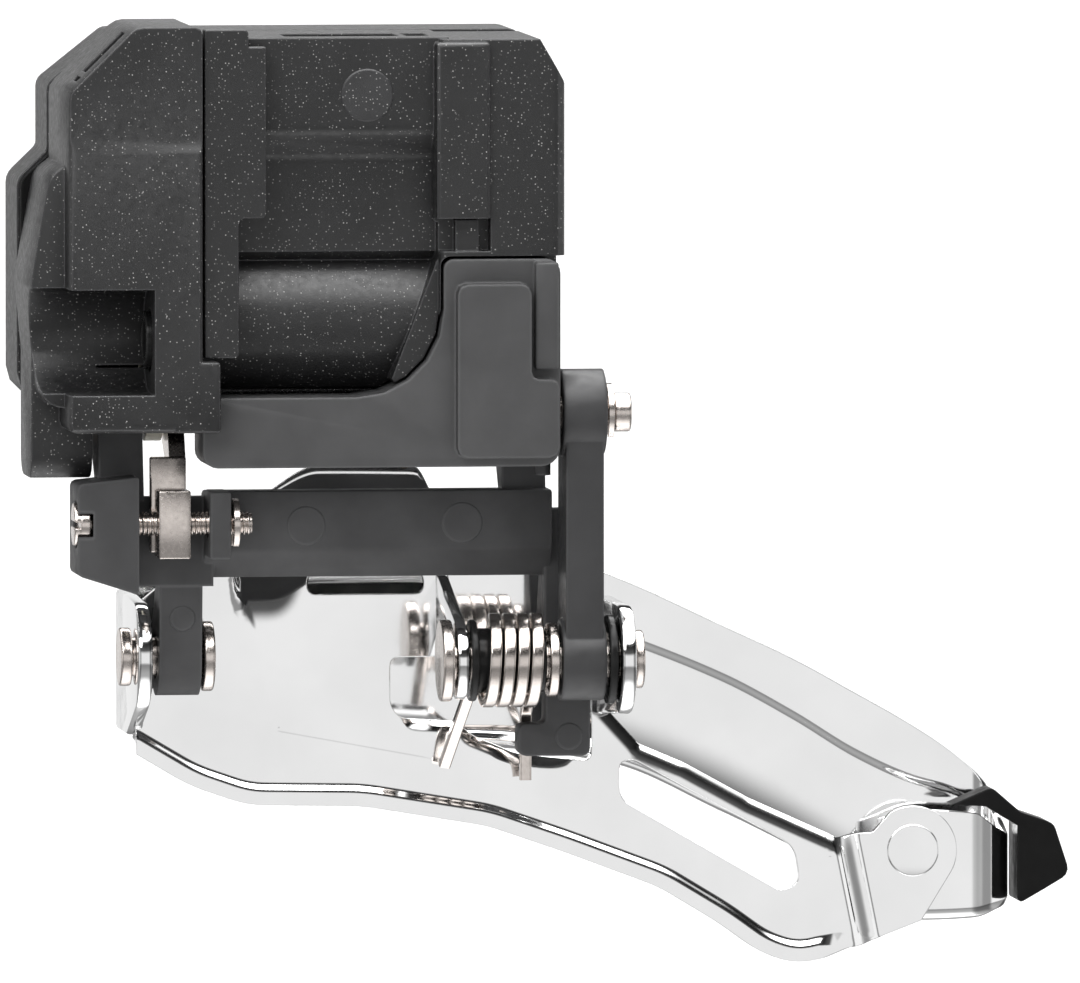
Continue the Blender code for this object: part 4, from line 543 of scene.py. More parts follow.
class Nodes:
    """Short calls that add and link shader nodes of one material."""

    def __init__(self, name):
        self.material = bpy.data.materials.new(name)
        self.material.use_nodes = True
        self.tree = self.material.node_tree
        self.shader = self.tree.nodes["Principled BSDF"]

    def add(self, kind, **inputs):
        """New node with the named inputs set or linked."""
        node = self.tree.nodes.new(kind)
        for key, value in inputs.items():
            self.put(node.inputs[key.replace("_", " ")], value)
        return node

    def put(self, socket, value):
        """Links a socket, or sets its constant."""
        if isinstance(value, bpy.types.NodeSocket):
            self.tree.links.new(value, socket)
        else:
            socket.default_value = value

    def set(self, **inputs):
        """Inputs of the surface shader."""
        for key, value in inputs.items():
            self.put(self.shader.inputs[key.replace("_", " ")], value)

    def place(self):
        """Object coordinates."""
        return self.add("ShaderNodeTexCoord").outputs["Object"]

    def noise(self, scale, detail=3.0):
        """Fractal noise at a scale in features per metre."""
        node = self.add("ShaderNodeTexNoise", Vector=self.place(), Scale=scale, Detail=detail, Roughness=0.55)
        return node.outputs["Fac"]

    def band(self, value, low, high, first=0.0, last=1.0):
        """Value mapped from low..high to first..last, held at the ends."""
        node = self.add("ShaderNodeMapRange")
        node.clamp = True
        self.put(node.inputs[0], value)
        for index, number in zip((1, 2, 3, 4), (low, high, first, last)):
            node.inputs[index].default_value = number
        return node.outputs[0]

    def product(self, a, b):
        """Product of two values."""
        node = self.tree.nodes.new("ShaderNodeMath")
        node.operation = "MULTIPLY"
        self.put(node.inputs[0], a)
        self.put(node.inputs[1], b)
        return node.outputs[0]

    def mix(self, share, a, b):
        """Colour between a and b."""
        node = self.tree.nodes.new("ShaderNodeMix")
        node.data_type = "RGBA"
        self.put(node.inputs[MIX_SHARE], share)
        self.put(node.inputs[MIX_A], a)
        self.put(node.inputs[MIX_B], b)
        return node.outputs[MIX_RESULT]

    def cloudy(self, scale, first, last, detail=3.0, low=0.3, high=0.7):
        """Value that wanders from first to last by fractal noise."""
        return self.band(self.noise(scale, detail), low, high, first, last)

    def tones(self, colour, dark, pale, scale, detail, low=0.3, high=0.7):
        """Colour that wanders between a darker and a paler tone of itself."""
        share = self.cloudy(scale, 0.0, 1.0, detail, low, high)
        return self.mix(share, grey(colour, dark), grey(colour, pale))

    def wear_and_edge_highlight(self, base, edge, share, colour):
        """Base colour that turns to another on edges, by up to a share: partly wear, partly a painted
        highlight.
        """
        return self.mix(self.product(self.edge_share(edge), share), base, colour)

    def edge_normal(self, radius):
        """Shading normal that rounds edges over a radius in metres."""
        node = self.tree.nodes.new("ShaderNodeBevel")
        node.samples = 6
        node.inputs["Radius"].default_value = radius
        return node.outputs["Normal"]

    def bump(self, height, strength, distance, normal=None):
        """Normal after a height pattern."""
        node = self.add("ShaderNodeBump", Height=height, Strength=strength, Distance=distance)
        if normal is not None:
            self.put(node.inputs["Normal"], normal)
        self.put(self.shader.inputs["Normal"], node.outputs["Normal"])

    def edge_share(self, normal):
        """0 on flat ground, 1 where the rounded normal leaves the true one."""
        true = self.add("ShaderNodeNewGeometry").outputs["Normal"]
        node = self.tree.nodes.new("ShaderNodeVectorMath")
        node.operation = "DOT_PRODUCT"
        self.put(node.inputs[0], normal)
        self.put(node.inputs[1], true)
        return self.band(node.outputs["Value"], 0.996, 0.90)


def grey(colour, factor):
    """Colour scaled, with full cover."""
    return tuple(float(c) * factor for c in colour[:3]) + (1.0,)


def flecked_plastic(n, finish, lift=1.0):
    """Charcoal moulding: pale flecks in scattered cells, spark-eroded grain and paler edges.

    The paler edges are partly wear and partly a painted highlight.
    """
    cells = n.add("ShaderNodeTexVoronoi", Vector=n.place(), Scale=finish.fleck_scale)
    near = n.band(cells.outputs["Distance"], 0.09, 0.24, 1.0, 0.0)
    tint = n.add("ShaderNodeSeparateColor", Color=cells.outputs["Color"])
    fleck = n.product(near, n.band(tint.outputs["Red"], 0.30, 0.95, 0.0, 0.5))
    base = n.tones(finish.case_colour, 0.82 * lift, 1.2 * lift, 260.0, 4.0)
    edge = n.edge_normal(0.00028)
    # Edges pale towards seven times the case colour: wear, and a painted highlight along them.
    wear_and_edge_highlight = n.wear_and_edge_highlight(base, edge, 0.55, grey(finish.case_colour, 7.0))
    n.set(Base_Color=n.mix(fleck, wear_and_edge_highlight, (0.72, 0.71, 0.69, 1.0)), Roughness=n.cloudy(1500.0, 0.36, 0.52),
          Specular_IOR_Level=0.62)
    n.bump(n.noise(5200.0, 2.0), 0.16, 0.00006, edge)


def coated_casting(n, colour, rough=(0.44, 0.58), shine=0.38):
    """Smooth matt coat: soft clouds of tone, fine grain and paler edges, from wear and a painted highlight.
    """
    edge = n.edge_normal(0.00045)
    base = n.tones(colour, 0.86, 1.14, 190.0, 5.0, 0.28, 0.72)
    # Edges pale towards 2.6 times the coat colour: wear, and a painted highlight along them.
    n.set(Base_Color=n.wear_and_edge_highlight(base, edge, 0.45, grey(colour, 2.6)), Roughness=n.cloudy(900.0, *rough),
          Specular_IOR_Level=shine)
    n.bump(n.noise(3600.0, 2.0), 0.10, 0.00005, edge)


def bright_plate(n, colour):
    """Mirror plating on drawn sheet: slow waviness, faint polishing haze."""
    n.set(Base_Color=n.tones(colour, 0.96, 1.03, 90.0, 4.0), Metallic=1.0,
          Roughness=n.cloudy(420.0, 0.045, 0.10, 5.0, 0.3, 0.75))
    n.bump(n.noise(55.0, 1.0), 0.10, 0.0004, n.edge_normal(0.00016))


def nickel_plate(n, colour, rough=(0.18, 0.30), edges=True):
    """Warm plated wire and turned steel: cloudy tone, soft sheen, fine grain and, if asked, rounded edges."""
    n.set(Base_Color=n.tones(colour, 0.88, 1.08, 700.0, 5.0), Metallic=1.0,
          Roughness=n.cloudy(2400.0, *rough, 4.0))
    n.bump(n.noise(4200.0, 2.0), 0.06, 0.00004, n.edge_normal(0.00016) if edges else None)


def rubber_black(n, colour, rough=(0.30, 0.44)):
    """Black moulding: clouds of tone, edges paled by dust and a painted highlight, and fine grain."""
    edge = n.edge_normal(0.0003)
    base = n.tones(colour, 0.75, 1.35, 420.0, 5.0, 0.3, 0.75)
    # Edges pale towards five times the moulding's colour: dust, and a painted highlight along them.
    n.set(Base_Color=n.wear_and_edge_highlight(base, edge, 0.4, grey(colour, 5.0)), Roughness=n.cloudy(800.0, *rough),
          Specular_IOR_Level=0.14)
    n.bump(n.noise(3000.0, 3.0), 0.10, 0.00006, edge)


def laminate_board(n, colour):
    """Green laminate with a faint glass weave."""
    weave = n.add("ShaderNodeTexWave", Vector=n.place(), Scale=420.0, Distortion=1.2).outputs["Fac"]
    n.set(Base_Color=n.mix(weave, grey(colour, 0.8), grey(colour, 1.2)), Roughness=n.cloudy(900.0, 0.35, 0.5))
    n.bump(weave, 0.08, 0.00004, n.edge_normal(0.00015))


def natural_plastic(n, colour):
    """Cream gear plastic: cloudy body, slight waxy sheen."""
    n.set(Base_Color=n.tones(colour, 0.92, 1.05, 300.0, 4.0), Roughness=n.cloudy(1200.0, 0.36, 0.5))
    n.bump(n.noise(3600.0), 0.06, 0.00004, n.edge_normal(0.00015))


FINISHES = {
    "case": lambda n, s: flecked_plastic(n, s),
    "case_mark": lambda n, s: flecked_plastic(n, s, 2.1),
    "bracket": lambda n, s: coated_casting(n, s.bracket_colour),
    "link": lambda n, s: coated_casting(n, s.link_colour, shine=0.10),
    "arm": lambda n, s: coated_casting(n, s.arm_colour, (0.36, 0.50)),
    "chrome": lambda n, s: bright_plate(n, s.chrome_colour),
    "nickel": lambda n, s: nickel_plate(n, s.nickel_colour),
    "wire": lambda n, s: nickel_plate(n, s.nickel_colour, (0.14, 0.26), False),
    "steel": lambda n, s: nickel_plate(n, (0.55, 0.55, 0.56), (0.22, 0.34)),
    "bronze": lambda n, s: nickel_plate(n, (0.50, 0.34, 0.18), (0.32, 0.48)),
    "rubber": lambda n, s: rubber_black(n, s.bumper_colour),
    "black": lambda n, s: rubber_black(n, (0.010, 0.010, 0.010), (0.16, 0.28)),
    "board": lambda n, s: laminate_board(n, (0.03, 0.13, 0.06)),
    "gear": lambda n, s: natural_plastic(n, (0.62, 0.59, 0.50)),
}


def material(finish):
    """The finish of that name, made on first use."""
    name = "finish_" + finish
    found = bpy.data.materials.get(name)
    if found:
        return found
    n = Nodes(name)
    FINISHES[finish](n, bpy.context.scene.derailleur_finish)
    return n.material


def colour_setting(name, description, default):
    """Colour for a settings group."""
    return FloatVectorProperty(name=name, description=description, default=default, subtype="COLOR", size=3,
                               min=0, max=1)


def length_setting(name, description, default, low=0.0, high=100.0):
    """Length in metres for a settings group."""
    return FloatProperty(name=name, description=description, default=default, unit="LENGTH", min=low,
                         max=high)


class DerailleurFinish(bpy.types.PropertyGroup):
    """Colours of the mouldings and platings."""

    case_colour: colour_setting("Case", "Charcoal of the flecked case", (0.0085, 0.0085, 0.009))
    fleck_scale: FloatProperty(name="Fleck density", description="Fleck cells per metre in the case plastic",
                               default=2900.0, min=100)
    bracket_colour: colour_setting("Bracket", "Coat of the frame bracket", (0.047, 0.047, 0.048))
    link_colour: colour_setting("Link", "Coat of the swing link", (0.050, 0.050, 0.051))
    arm_colour: colour_setting("Arm", "Moulded support arm", (0.030, 0.030, 0.031))
    chrome_colour: colour_setting("Cage plating", "Bright plating of the cage", (0.90, 0.90, 0.90))
    nickel_colour: colour_setting("Pin plating", "Warm plating of pins, nut and spring", (0.70, 0.64, 0.60))
    bumper_colour: colour_setting("Bumper", "Black moulding at the tail", (0.004, 0.004, 0.004))


class DerailleurCage(bpy.types.PropertyGroup):
    """Sheet sizes of the cage."""

    sheet: length_setting("Sheet", "Thickness of the cage sheet", 0.001, 0.0004, 0.002)
    lip_drop: length_setting("Lip", "Depth of the lower lip below its bend", 0.002, 0.0, 0.004)
    lip_step: length_setting("Lip step", "How far the lower lip stands out", 0.00038, 0.0, 0.002)
    joggle: length_setting("Joggle", "Step in the outer plate along its crease", 0.00019, 0.0, 0.002)
    flange: length_setting("Foot flange", "Width of the outer plate's turned-in foot", 0.0018, 0.0, 0.004)
    emboss: length_setting("Panel step", "Depth of the inner plate's panel", 0.000062, 0.0, 0.001)


class DerailleurWire(bpy.types.PropertyGroup):
    """Spring and screw sizes."""

    coil_radius: length_setting("Coil radius", "Mean radius of the spring's coil", 0.00435)
    pitch: length_setting("Coil pitch", "Step from coil to coil", 0.00144)
    turns: FloatProperty(name="Turns", description="Turns in the spring's coil", default=4.0)
    wire_width: length_setting("Wire width", "Wire size along the coil's axis", 0.00122)
    wire_depth: length_setting("Wire depth", "Wire size across the coil's axis", 0.0010)
    thread_pitch: length_setting("Thread pitch", "Pitch of the adjusting screw", 0.00045)
    thread_depth: length_setting("Thread depth", "Depth of the screw's thread", 0.00022)


class DerailleurStage(bpy.types.PropertyGroup):
    """Camera, floor and light."""

    turn: FloatProperty(name="Turn", description="How far to the left the camera stands", subtype="ANGLE",
                        default=math.radians(7.0))
    height: FloatProperty(name="Height", description="Camera angle above the horizon", subtype="ANGLE",
                          default=math.radians(3.5))
    distance: length_setting("Distance", "Camera distance", 3.0)
    width: length_setting("View width", "Width of the view at the object", 0.1105)
    floor_drop: length_setting("Floor", "Floor below the frame's origin", 0.16)
    floor_glow: FloatProperty(name="Floor glow", description="Light of the floor itself, as from a lit table",
                              default=0.24, min=0.0)
    world_strength: FloatProperty(name="Studio light", description="Strength of the soft studio light",
                                  default=1.0)
    shine_strength: FloatProperty(name="Shine", description="Strength of what the plating mirrors",
                                  default=1.0)
    key_power: FloatProperty(name="Key", description="Power of the key panel", unit="POWER", default=14.0)
    top_power: FloatProperty(name="Top", description="Power of the top panel", unit="POWER", default=14.0)


def join(tree, *pairs):
    """Links each output to its input in a node tree."""
    for output, socket in pairs:
        tree.links.new(output, socket)


def smooth_steps(angle):
    """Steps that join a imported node's loose triangles and shade them smooth but for edges past an angle."""
    group = bpy.data.node_groups.new("smooth_faces", "GeometryNodeTree")
    group.interface.new_socket("Geometry", in_out="INPUT", socket_type="NodeSocketGeometry")
    group.interface.new_socket("Geometry", in_out="OUTPUT", socket_type="NodeSocketGeometry")
    start = group.nodes.new("NodeGroupInput")
    merge = group.nodes.new("GeometryNodeMergeByDistance")
    merge.inputs["Distance"].default_value = 2e-6
    smooth = group.nodes.new("GeometryNodeSetShadeSmooth")
    smooth.domain = "FACE"
    crease = group.nodes.new("GeometryNodeInputMeshEdgeAngle")
    past = group.nodes.new("FunctionNodeCompare")
    past.data_type = "FLOAT"
    past.operation = "GREATER_THAN"
    past.inputs["B"].default_value = math.radians(angle)
    sharp = group.nodes.new("GeometryNodeSetShadeSmooth")
    sharp.domain = "EDGE"
    sharp.inputs["Shade Smooth"].default_value = False
    end = group.nodes.new("NodeGroupOutput")
    join(group, (start.outputs[0], merge.inputs["Geometry"]),
         (merge.outputs["Geometry"], smooth.inputs["Geometry"]),
         (crease.outputs["Unsigned Angle"], past.inputs["A"]),
         (past.outputs["Result"], sharp.inputs["Selection"]),
         (smooth.outputs["Geometry"], sharp.inputs["Geometry"]),
         (sharp.outputs["Geometry"], end.inputs[0]))
    return group


class DERAILLEUR_OT_finishes(bpy.types.Operator):
    """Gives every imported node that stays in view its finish"""

    bl_idname = "derailleur.finishes"
    bl_label = "Finishes"

    def execute(self, context):
        steps, crisp = smooth_steps(SMOOTH_ANGLE), smooth_steps(CRISP_ANGLE)
        for finish, nodes in NODE_FINISHES.items():
            for node in nodes:
                item = frame["nodes"][node]
                item.data.materials.clear()
                item.data.materials.append(material(finish))
                item.modifiers.new("smooth", "NODES").node_group = crisp if node in CRISP_NODES else steps
        return {"FINISHED"}


def foot_line(x):
    """Height of the inner plate's bend line at x, straight runs with slightly eased corners."""
    line = round_line(INNER_FOOT, FOOT_CORNER, 6)
    return np.interp(x, line[:, 0], line[:, 1])


def edge_turn(points, line, depth, width):
    """Turned-back edge: depth (1 - d/w)^2 at distance d from a line, nothing past the width w."""
    near = np.clip(1.0 - distance_to(points, np.array(line), False) / width, 0.0, 1.0)
    return depth * near ** 2


def inner_height(points, cage):
    """Depth y of the inner plate at (x, z): flat, with lip, turned edges, dent, tail step and panel added."""
    x, z = points[:, 0], points[:, 1]
    reach = 0.3
    lean = np.cos(np.arctan((foot_line(x + reach) - foot_line(x - reach)) / (2 * reach)))
    below = (foot_line(x) - z) * lean
    lip = cage.lip_step / MM * smoothstep(*LIP_RISE, below) * (1.0 - smoothstep(*LIP_END, x))
    tail = TAIL_STEP * smoothstep(*TAIL_SPAN, x + TAIL_LEAN * (z - TAIL_LEVEL))
    line = np.array(PANEL_LINE)
    edge = np.interp(x, line[2:, 0], line[2:, 1])
    side = np.interp(-z, -line[:3, 1], line[:3, 0])
    within = smoothstep(*PANEL_RISE, x - side) * smoothstep(*PANEL_RISE, z - edge)
    panel = cage.emboss / MM * within * (1.0 - smoothstep(*PANEL_END, x))
    dent = DENT_CURVE * np.maximum(0.0, z - DENT_FOOT) ** 2 * stretch(DENT_START, DENT_END, x)
    sill = edge_turn(points, WINDOW_SILL, *SILL_TURN) * stretch(SILL_START, SILL_END, x)
    return INNER_Y - lip + tail + panel + dent + sill + edge_turn(points, INNER_HEAD, *HEAD_TURN)


def inner_scatter(outline, holes):
    """Points inside the plate: an even triangular scatter, with closer rows along bends, edges and tail."""
    gx, gz = np.meshgrid(np.arange(*SCATTER_X, SCATTER_STEP), np.arange(*SCATTER_Z, SCATTER_STEP * ROW_RISE))
    gx = gx + 0.5 * SCATTER_STEP * (np.arange(gx.shape[0]) % 2)[:, None]
    scatter = np.stack([gx.ravel(), gz.ravel()], axis=1)
    along_tail = scatter @ (1.0, TAIL_LEAN) - TAIL_LEVEL * TAIL_LEAN
    scatter = scatter[np.abs(along_tail - TAIL_MIDDLE) > TAIL_CLEAR]
    x = np.linspace(*FOOT_RUN, 230)
    rows = []
    foot = np.stack([x, foot_line(x)], axis=1)
    for line, offsets in ((foot, FOOT_ROWS), (np.array(PANEL_LINE), PANEL_ROWS),
                          (np.array(INNER_HEAD), HEAD_ROWS), (np.array(WINDOW_SILL), SILL_ROWS)):
        scatter = scatter[distance_to(scatter, line, False) > np.abs(offsets).max() + ROW_CLEAR]
        rows.append(beside(line, offsets))
    tx, tz = np.meshgrid(np.linspace(*TAIL_ROWS_X, 26), np.arange(*TAIL_ROWS_Z, 0.5))
    tail = np.stack([tx.ravel() - TAIL_LEAN * (tz.ravel() - TAIL_LEVEL), tz.ravel()], axis=1)
    points = np.vstack([scatter] + rows + [tail])
    points = points[inside(points, outline)]
    points = points[distance_to(points, outline) > EDGE_CLEAR]
    for hole in holes:
        points = points[~inside(points, hole)]
        points = points[distance_to(points, hole) > EDGE_CLEAR]
    return points


def inner_sheet(cage):
    """Inner plate: points inside its outline and off its openings, joined to triangles, raised to y(x, z)."""
    x = np.linspace(*LIP_RUN, 150)
    lower = beside(np.stack([x, foot_line(x)], axis=1), (-cage.lip_drop / MM,))
    lower = lower[(lower[:, 0] > PLATE_FRONT) & (lower[:, 0] < LIP_STOP)]
    t = np.radians(np.linspace(*TAIL_ARC, 26))
    tail = np.array(TAIL_CENTRE) + TAIL_RADIUS * np.stack([np.cos(t), np.sin(t)], axis=1)
    rear = np.vstack([TAIL_FOOT, tail, [TAIL_NECK], INNER_HEAD])
    crown = round_line(np.vstack([INNER_HEAD[-1:], INNER_CROWN, INNER_FOOT[:1]]), 1.0)
    outline = resample(np.vstack([lower, rear, crown[1:]]), OUTLINE_STEP)
    holes = [resample(round_loop(loop, radius, 7), OPENING_STEP) for loop, radius in OPENINGS]
    loops = [outline] + holes
    edges = []
    for loop, start in zip(loops, np.cumsum([0] + [len(loop) for loop in loops])):
        index = np.arange(len(loop))
        edges.append(np.stack([start + index, start + (index + 1) % len(loop)], axis=1))
    every = np.vstack(loops + [inner_scatter(outline, holes)])
    made = delaunay_2d_cdt([Vector(p) for p in every.tolist()], np.vstack(edges).tolist(), [], 0, 1e-6)
    flat = np.array([tuple(v) for v in made[0]])
    faces = np.array(made[2])
    centre = flat[faces].mean(axis=1)
    kept = inside(centre, outline)
    for hole in holes:
        kept &= ~inside(centre, hole)
    a, b = flat[faces[:, 1]] - flat[faces[:, 0]], flat[faces[:, 2]] - flat[faces[:, 0]]
    kept &= np.abs(a[:, 0] * b[:, 1] - a[:, 1] * b[:, 0]) > LEAST_TRIANGLE
    used, faces = np.unique(faces[kept], return_inverse=True)
    flat = flat[used]
    solid = np.stack([flat[:, 0], inner_height(flat, cage), flat[:, 1]], axis=1)
    mesh = new_mesh("inner_sheet", solid, faces.reshape(-1, 3).tolist())
    return finished("inner_sheet", mesh, SMOOTH_ANGLE, cage.sheet / MM)


def inner_tabs():
    """Turned-up ears and wall of the inner plate that the pins pass through, as soft-edged plates."""
    tabs = []
    for name, span, soft, ends, root in EARS:
        outline = hull_loop(*[circle_points(*end) for end in ends], box_points(*root))
        tabs.append(slab_mesh(name, "X", outline, span, soft))
    flange = box_points(*FRONT_FLANGE)[[0, 1, 3, 2]]
    tabs.append(slab_mesh("front_flange", "Y", round_loop(flange, 1.5), FRONT_FLANGE_SPAN))
    return tabs


class DERAILLEUR_OT_inner_plate(bpy.types.Operator):
    """Presses the inner cage plate with its lip, windows, tail step and ears"""

    bl_idname = "derailleur.inner_plate"
    bl_label = "Inner cage plate"

    def execute(self, context):
        cage = context.scene.derailleur_cage
        mesh = joined("inner_plate", [inner_sheet(cage)] + inner_tabs())
        place("inner_plate", mesh, "chrome", "cage", ("cage_inner_plate",))
        return {"FINISHED"}


def outer_sheet(cage):
    """Outer plate: rows run from a turned-in foot over the joggle to the top edge, carried along the plan."""
    rows = monotone_rows(OUTER_ROWS, 260)
    x, y, top, crease, foot = rows.T
    along = np.gradient(np.stack([x, y], axis=1), axis=0)
    along /= np.linalg.norm(along, axis=1, keepdims=True)
    out = np.stack([-along[:, 1], along[:, 0]], axis=1)
    low = np.linspace(0.0, 1.0, 22)[:, None]
    near = np.tanh(np.linspace(-CREASE_SPREAD, CREASE_SPREAD, 19))[:, None]
    z_low = foot + (crease - CREASE_REACH - foot) * low
    z_mid = crease + CREASE_REACH * near / np.tanh(CREASE_SPREAD)
    z_top = crease + CREASE_REACH + (top - crease - CREASE_REACH) * np.linspace(0.0, 1.0, 12)[:, None]
    z = np.vstack([z_low, z_mid[1:], z_top[1:]])
    side = np.arange(len(x)) <= np.argmax(x)
    joggle = cage.joggle / MM * side * (1.0 - smoothstep(*JOGGLE_END, x))
    lean = OUTER_LEAN * (side * stretch(LEAN_START, LEAN_END, x)) * np.maximum(0.0, crease - z) ** 2
    push = joggle * (1.0 - smoothstep(*JOGGLE_RISE, z - crease)) - lean
    t = np.linspace(0.0, 1.0, 9)[:, None]
    width = cage.flange / MM * side * stretch(FLANGE_START, FLANGE_END, x)
    z_foot = foot - FOOT_DROP * np.sin(0.5 * np.pi * np.minimum(1.0, FOOT_TURN * (1 - t)))
    push_foot = joggle - lean[0] - np.maximum(width, FLANGE_LEAST) * (1 - t) ** FLANGE_CURVE
    z = np.vstack([z_foot[:-1], z])
    push = np.vstack([push_foot[:-1], push])
    points = np.stack([x + push * out[:, 0], y + push * out[:, 1], z], axis=-1)
    mesh = new_mesh("outer_sheet", points.reshape(-1, 3), grid_faces(*points.shape[:2]).tolist())
    return finished("outer_plate", mesh, SMOOTH_ANGLE, cage.sheet / MM, OUTER_BEVEL)


class DERAILLEUR_OT_outer_plate(bpy.types.Operator):
    """Presses the outer cage plate that folds round the tail"""

    bl_idname = "derailleur.outer_plate"
    bl_label = "Outer cage plate"

    def execute(self, context):
        mesh = outer_sheet(context.scene.derailleur_cage)
        place("outer_plate", mesh, "chrome", "cage", ("cage_outer_plate",))
        return {"FINISHED"}


class DERAILLEUR_OT_pins(bpy.types.Operator):
    """Turns the pivot pins, rivets, bush and spacers"""

    bl_idname = "derailleur.pins"
    bl_label = "Pins and rivets"

    def execute(self, context):
        for node, axis, centre, profile in PINS:
            finish = "chrome" if "rivet" in node else "nickel"
            mesh = turned_mesh(node + "_turned", axis, centre, profile, PIN_SOFT)
            place(node + "_turned", mesh, finish, body_of_node(node), (node,))
        for node, axis, centre, profile in RINGS:
            mesh = turned_mesh(node + "_turned", axis, centre, profile, RING_SOFT, bored=True)
            finish = "nickel" if node == "spring_disc" else "black"
            place(node + "_turned", mesh, finish, body_of_node(node), (node,))
        return {"FINISHED"}


def spring_path(wire):
    """Centre line: front leg, coil (x0 + p k, R cos t, R sin t) about the lower arm pivot, rear leg.

    Also gives the point at which the rear leg starts.
    """
    radius, pitch = wire.coil_radius / MM, wire.pitch / MM
    k = np.linspace(0.0, wire.turns, int(wire.turns * 48) + 1)
    t = -2 * np.pi * k
    coil = along_axis("X", ARM_LOW, COIL_START + pitch * k, radius * np.cos(t), radius * np.sin(t))
    front = round_line([*FRONT_LEG[::-1], coil[0], coil[2]], FRONT_CORNER, 7)
    rear = round_line([coil[-3], coil[-1], *REAR_LEG], REAR_CORNER, 7)
    ahead = np.vstack([front[:-1], coil[3:-3]])
    return np.vstack([ahead, rear[1:]]), len(ahead)


class DERAILLEUR_OT_spring(bpy.types.Operator):
    """Winds the square-wire return spring with its two legs"""

    bl_idname = "derailleur.spring"
    bl_label = "Return spring"

    def execute(self, context):
        wire = context.scene.derailleur_wire
        t = np.linspace(0.0, 2 * np.pi, 32, endpoint=False)
        round_square = np.stack([np.cos(t), np.sin(t)], axis=1)
        round_square = np.sign(round_square) * np.abs(round_square) ** WIRE_POWER
        section = 0.5 * np.array([wire.wire_width, wire.wire_depth]) / MM * round_square
        path, split = spring_path(wire)
        guide = np.array([1.0, 0.0, 0.0])
        # The coil and the rear leg share a few points of the path, so that no gap opens between them.
        mesh = swept_mesh("return_spring", path[:split + 2], section, guide)
        place("return_spring", mesh, "wire", "cage", ("torsion_spring",), "nickel")
        mesh = swept_mesh("return_spring_leg", path[split - 1:], section, guide)
        place("return_spring_leg", mesh, "wire", "cage", slot="nickel", bend=("link",) + LEG_BEND)
        return {"FINISHED"}


def thread_mesh(wire, span, radius):
    """Threaded rod: r = R - d |2 frac(x/p - t/2pi) - 1| over the axis, closed by flat ends."""
    pitch, depth = wire.thread_pitch / MM, wire.thread_depth / MM
    x = np.linspace(span[0], span[1], int((span[1] - span[0]) / pitch * 8))
    t = np.linspace(0.0, 2 * np.pi, 40, endpoint=False)
    phase = (x[:, None] / pitch - t[None] / (2 * np.pi)) % 1.0
    ease = stretch((span[0], span[0] + THREAD_RUN_IN), (span[1] - THREAD_RUN_OUT, span[1]), x)
    r = radius - depth * np.where(ease[:, None] > 0, np.abs(2 * phase - 1.0), 1.0)
    r = np.minimum(r, radius - depth * (1.0 - ease[:, None]))
    a = np.broadcast_to(x[:, None], r.shape)
    a = np.vstack([a[:1], a, a[-1:]])
    r = np.vstack([r[:1] * 0, r, r[-1:] * 0])
    points = along_axis("X", SCREW_AXIS, a, r * np.cos(t), r * np.sin(t))
    faces = grid_faces(len(a), len(t), False, True)
    return shaded(seal(new_mesh("thread", points.reshape(-1, 3), faces)), THREAD_ANGLE)


class DERAILLEUR_OT_screw(bpy.types.Operator):
    """Cuts the adjusting screw: slotted head and threaded shank"""

    bl_idname = "derailleur.screw"
    bl_label = "Adjusting screw"

    def execute(self, context):
        wire = context.scene.derailleur_wire
        first, last = SCREW_BASE
        profile = ((first, 0), (first, HEAD_RADIUS), (last, HEAD_RADIUS), (last, 0))
        base = turned_mesh("head_base", "X", SCREW_AXIS, profile, 0.15)
        t = np.radians(np.linspace(SLOT_ANGLE, 180.0 - SLOT_ANGLE, 40))
        half = np.stack([HEAD_RADIUS * np.cos(t), HEAD_RADIUS * np.sin(t)], axis=1)
        upper = slab_mesh("head_upper", "X", half + SCREW_AXIS, SCREW_HEAD, 0.2)
        lower = slab_mesh("head_lower", "X", half * (1.0, -1.0) + SCREW_AXIS, SCREW_HEAD, 0.2)
        thread = thread_mesh(wire, SCREW_THREAD, THREAD_RADIUS)
        mesh = joined("threaded_screw", [base, upper, lower, thread])
        place("threaded_screw", mesh, "nickel", "screw", ("adjusting_screw",))
        return {"FINISHED"}


class DERAILLEUR_OT_seal(bpy.types.Operator):
    """Presses the case seal between the two halves of the case until it meets both"""

    bl_idname = "derailleur.seal"
    bl_label = "Case seal"

    def execute(self, context):
        mesh = frame["nodes"]["case_gasket"].data.copy()
        points = np.empty(len(mesh.vertices) * 3)
        mesh.vertices.foreach_get("co", points)
        points = points.reshape(-1, 3)
        depth = points[:, 1]
        low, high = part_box("motor_case")[1][1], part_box("outer_cover")[0][1]
        points[:, 1] = low + (high - low) * (depth - depth.min()) / np.ptp(depth)
        mesh.vertices.foreach_set("co", points.ravel())
        mesh = shaded(seal(mesh), SMOOTH_ANGLE)
        place("case_seal", mesh, "rubber", body_of_node("case_gasket"), ("case_gasket",))
        return {"FINISHED"}


class DERAILLEUR_OT_marks(bpy.types.Operator):
    """Sets the bare round marks that the mould leaves on flat faces"""

    bl_idname = "derailleur.marks"
    bl_label = "Mould marks"

    def execute(self, context):
        for name, body, centre, radius in MOULD_MARKS:
            x, y, z = centre
            profile = ((y - MARK_RISE, 0.0), (y - MARK_RISE, radius - 0.22), (y - 0.01, radius - 0.08),
                       (y + MARK_BED, radius), (y + MARK_BED, 0.0))
            mesh = turned_mesh(name, "Y", (x, z), profile, 0.05, 64)
            finish, slot = ("case_mark", "case") if body == "base" else ("link", "link")
            place(name, mesh, finish, body, (), slot)
        return {"FINISHED"}


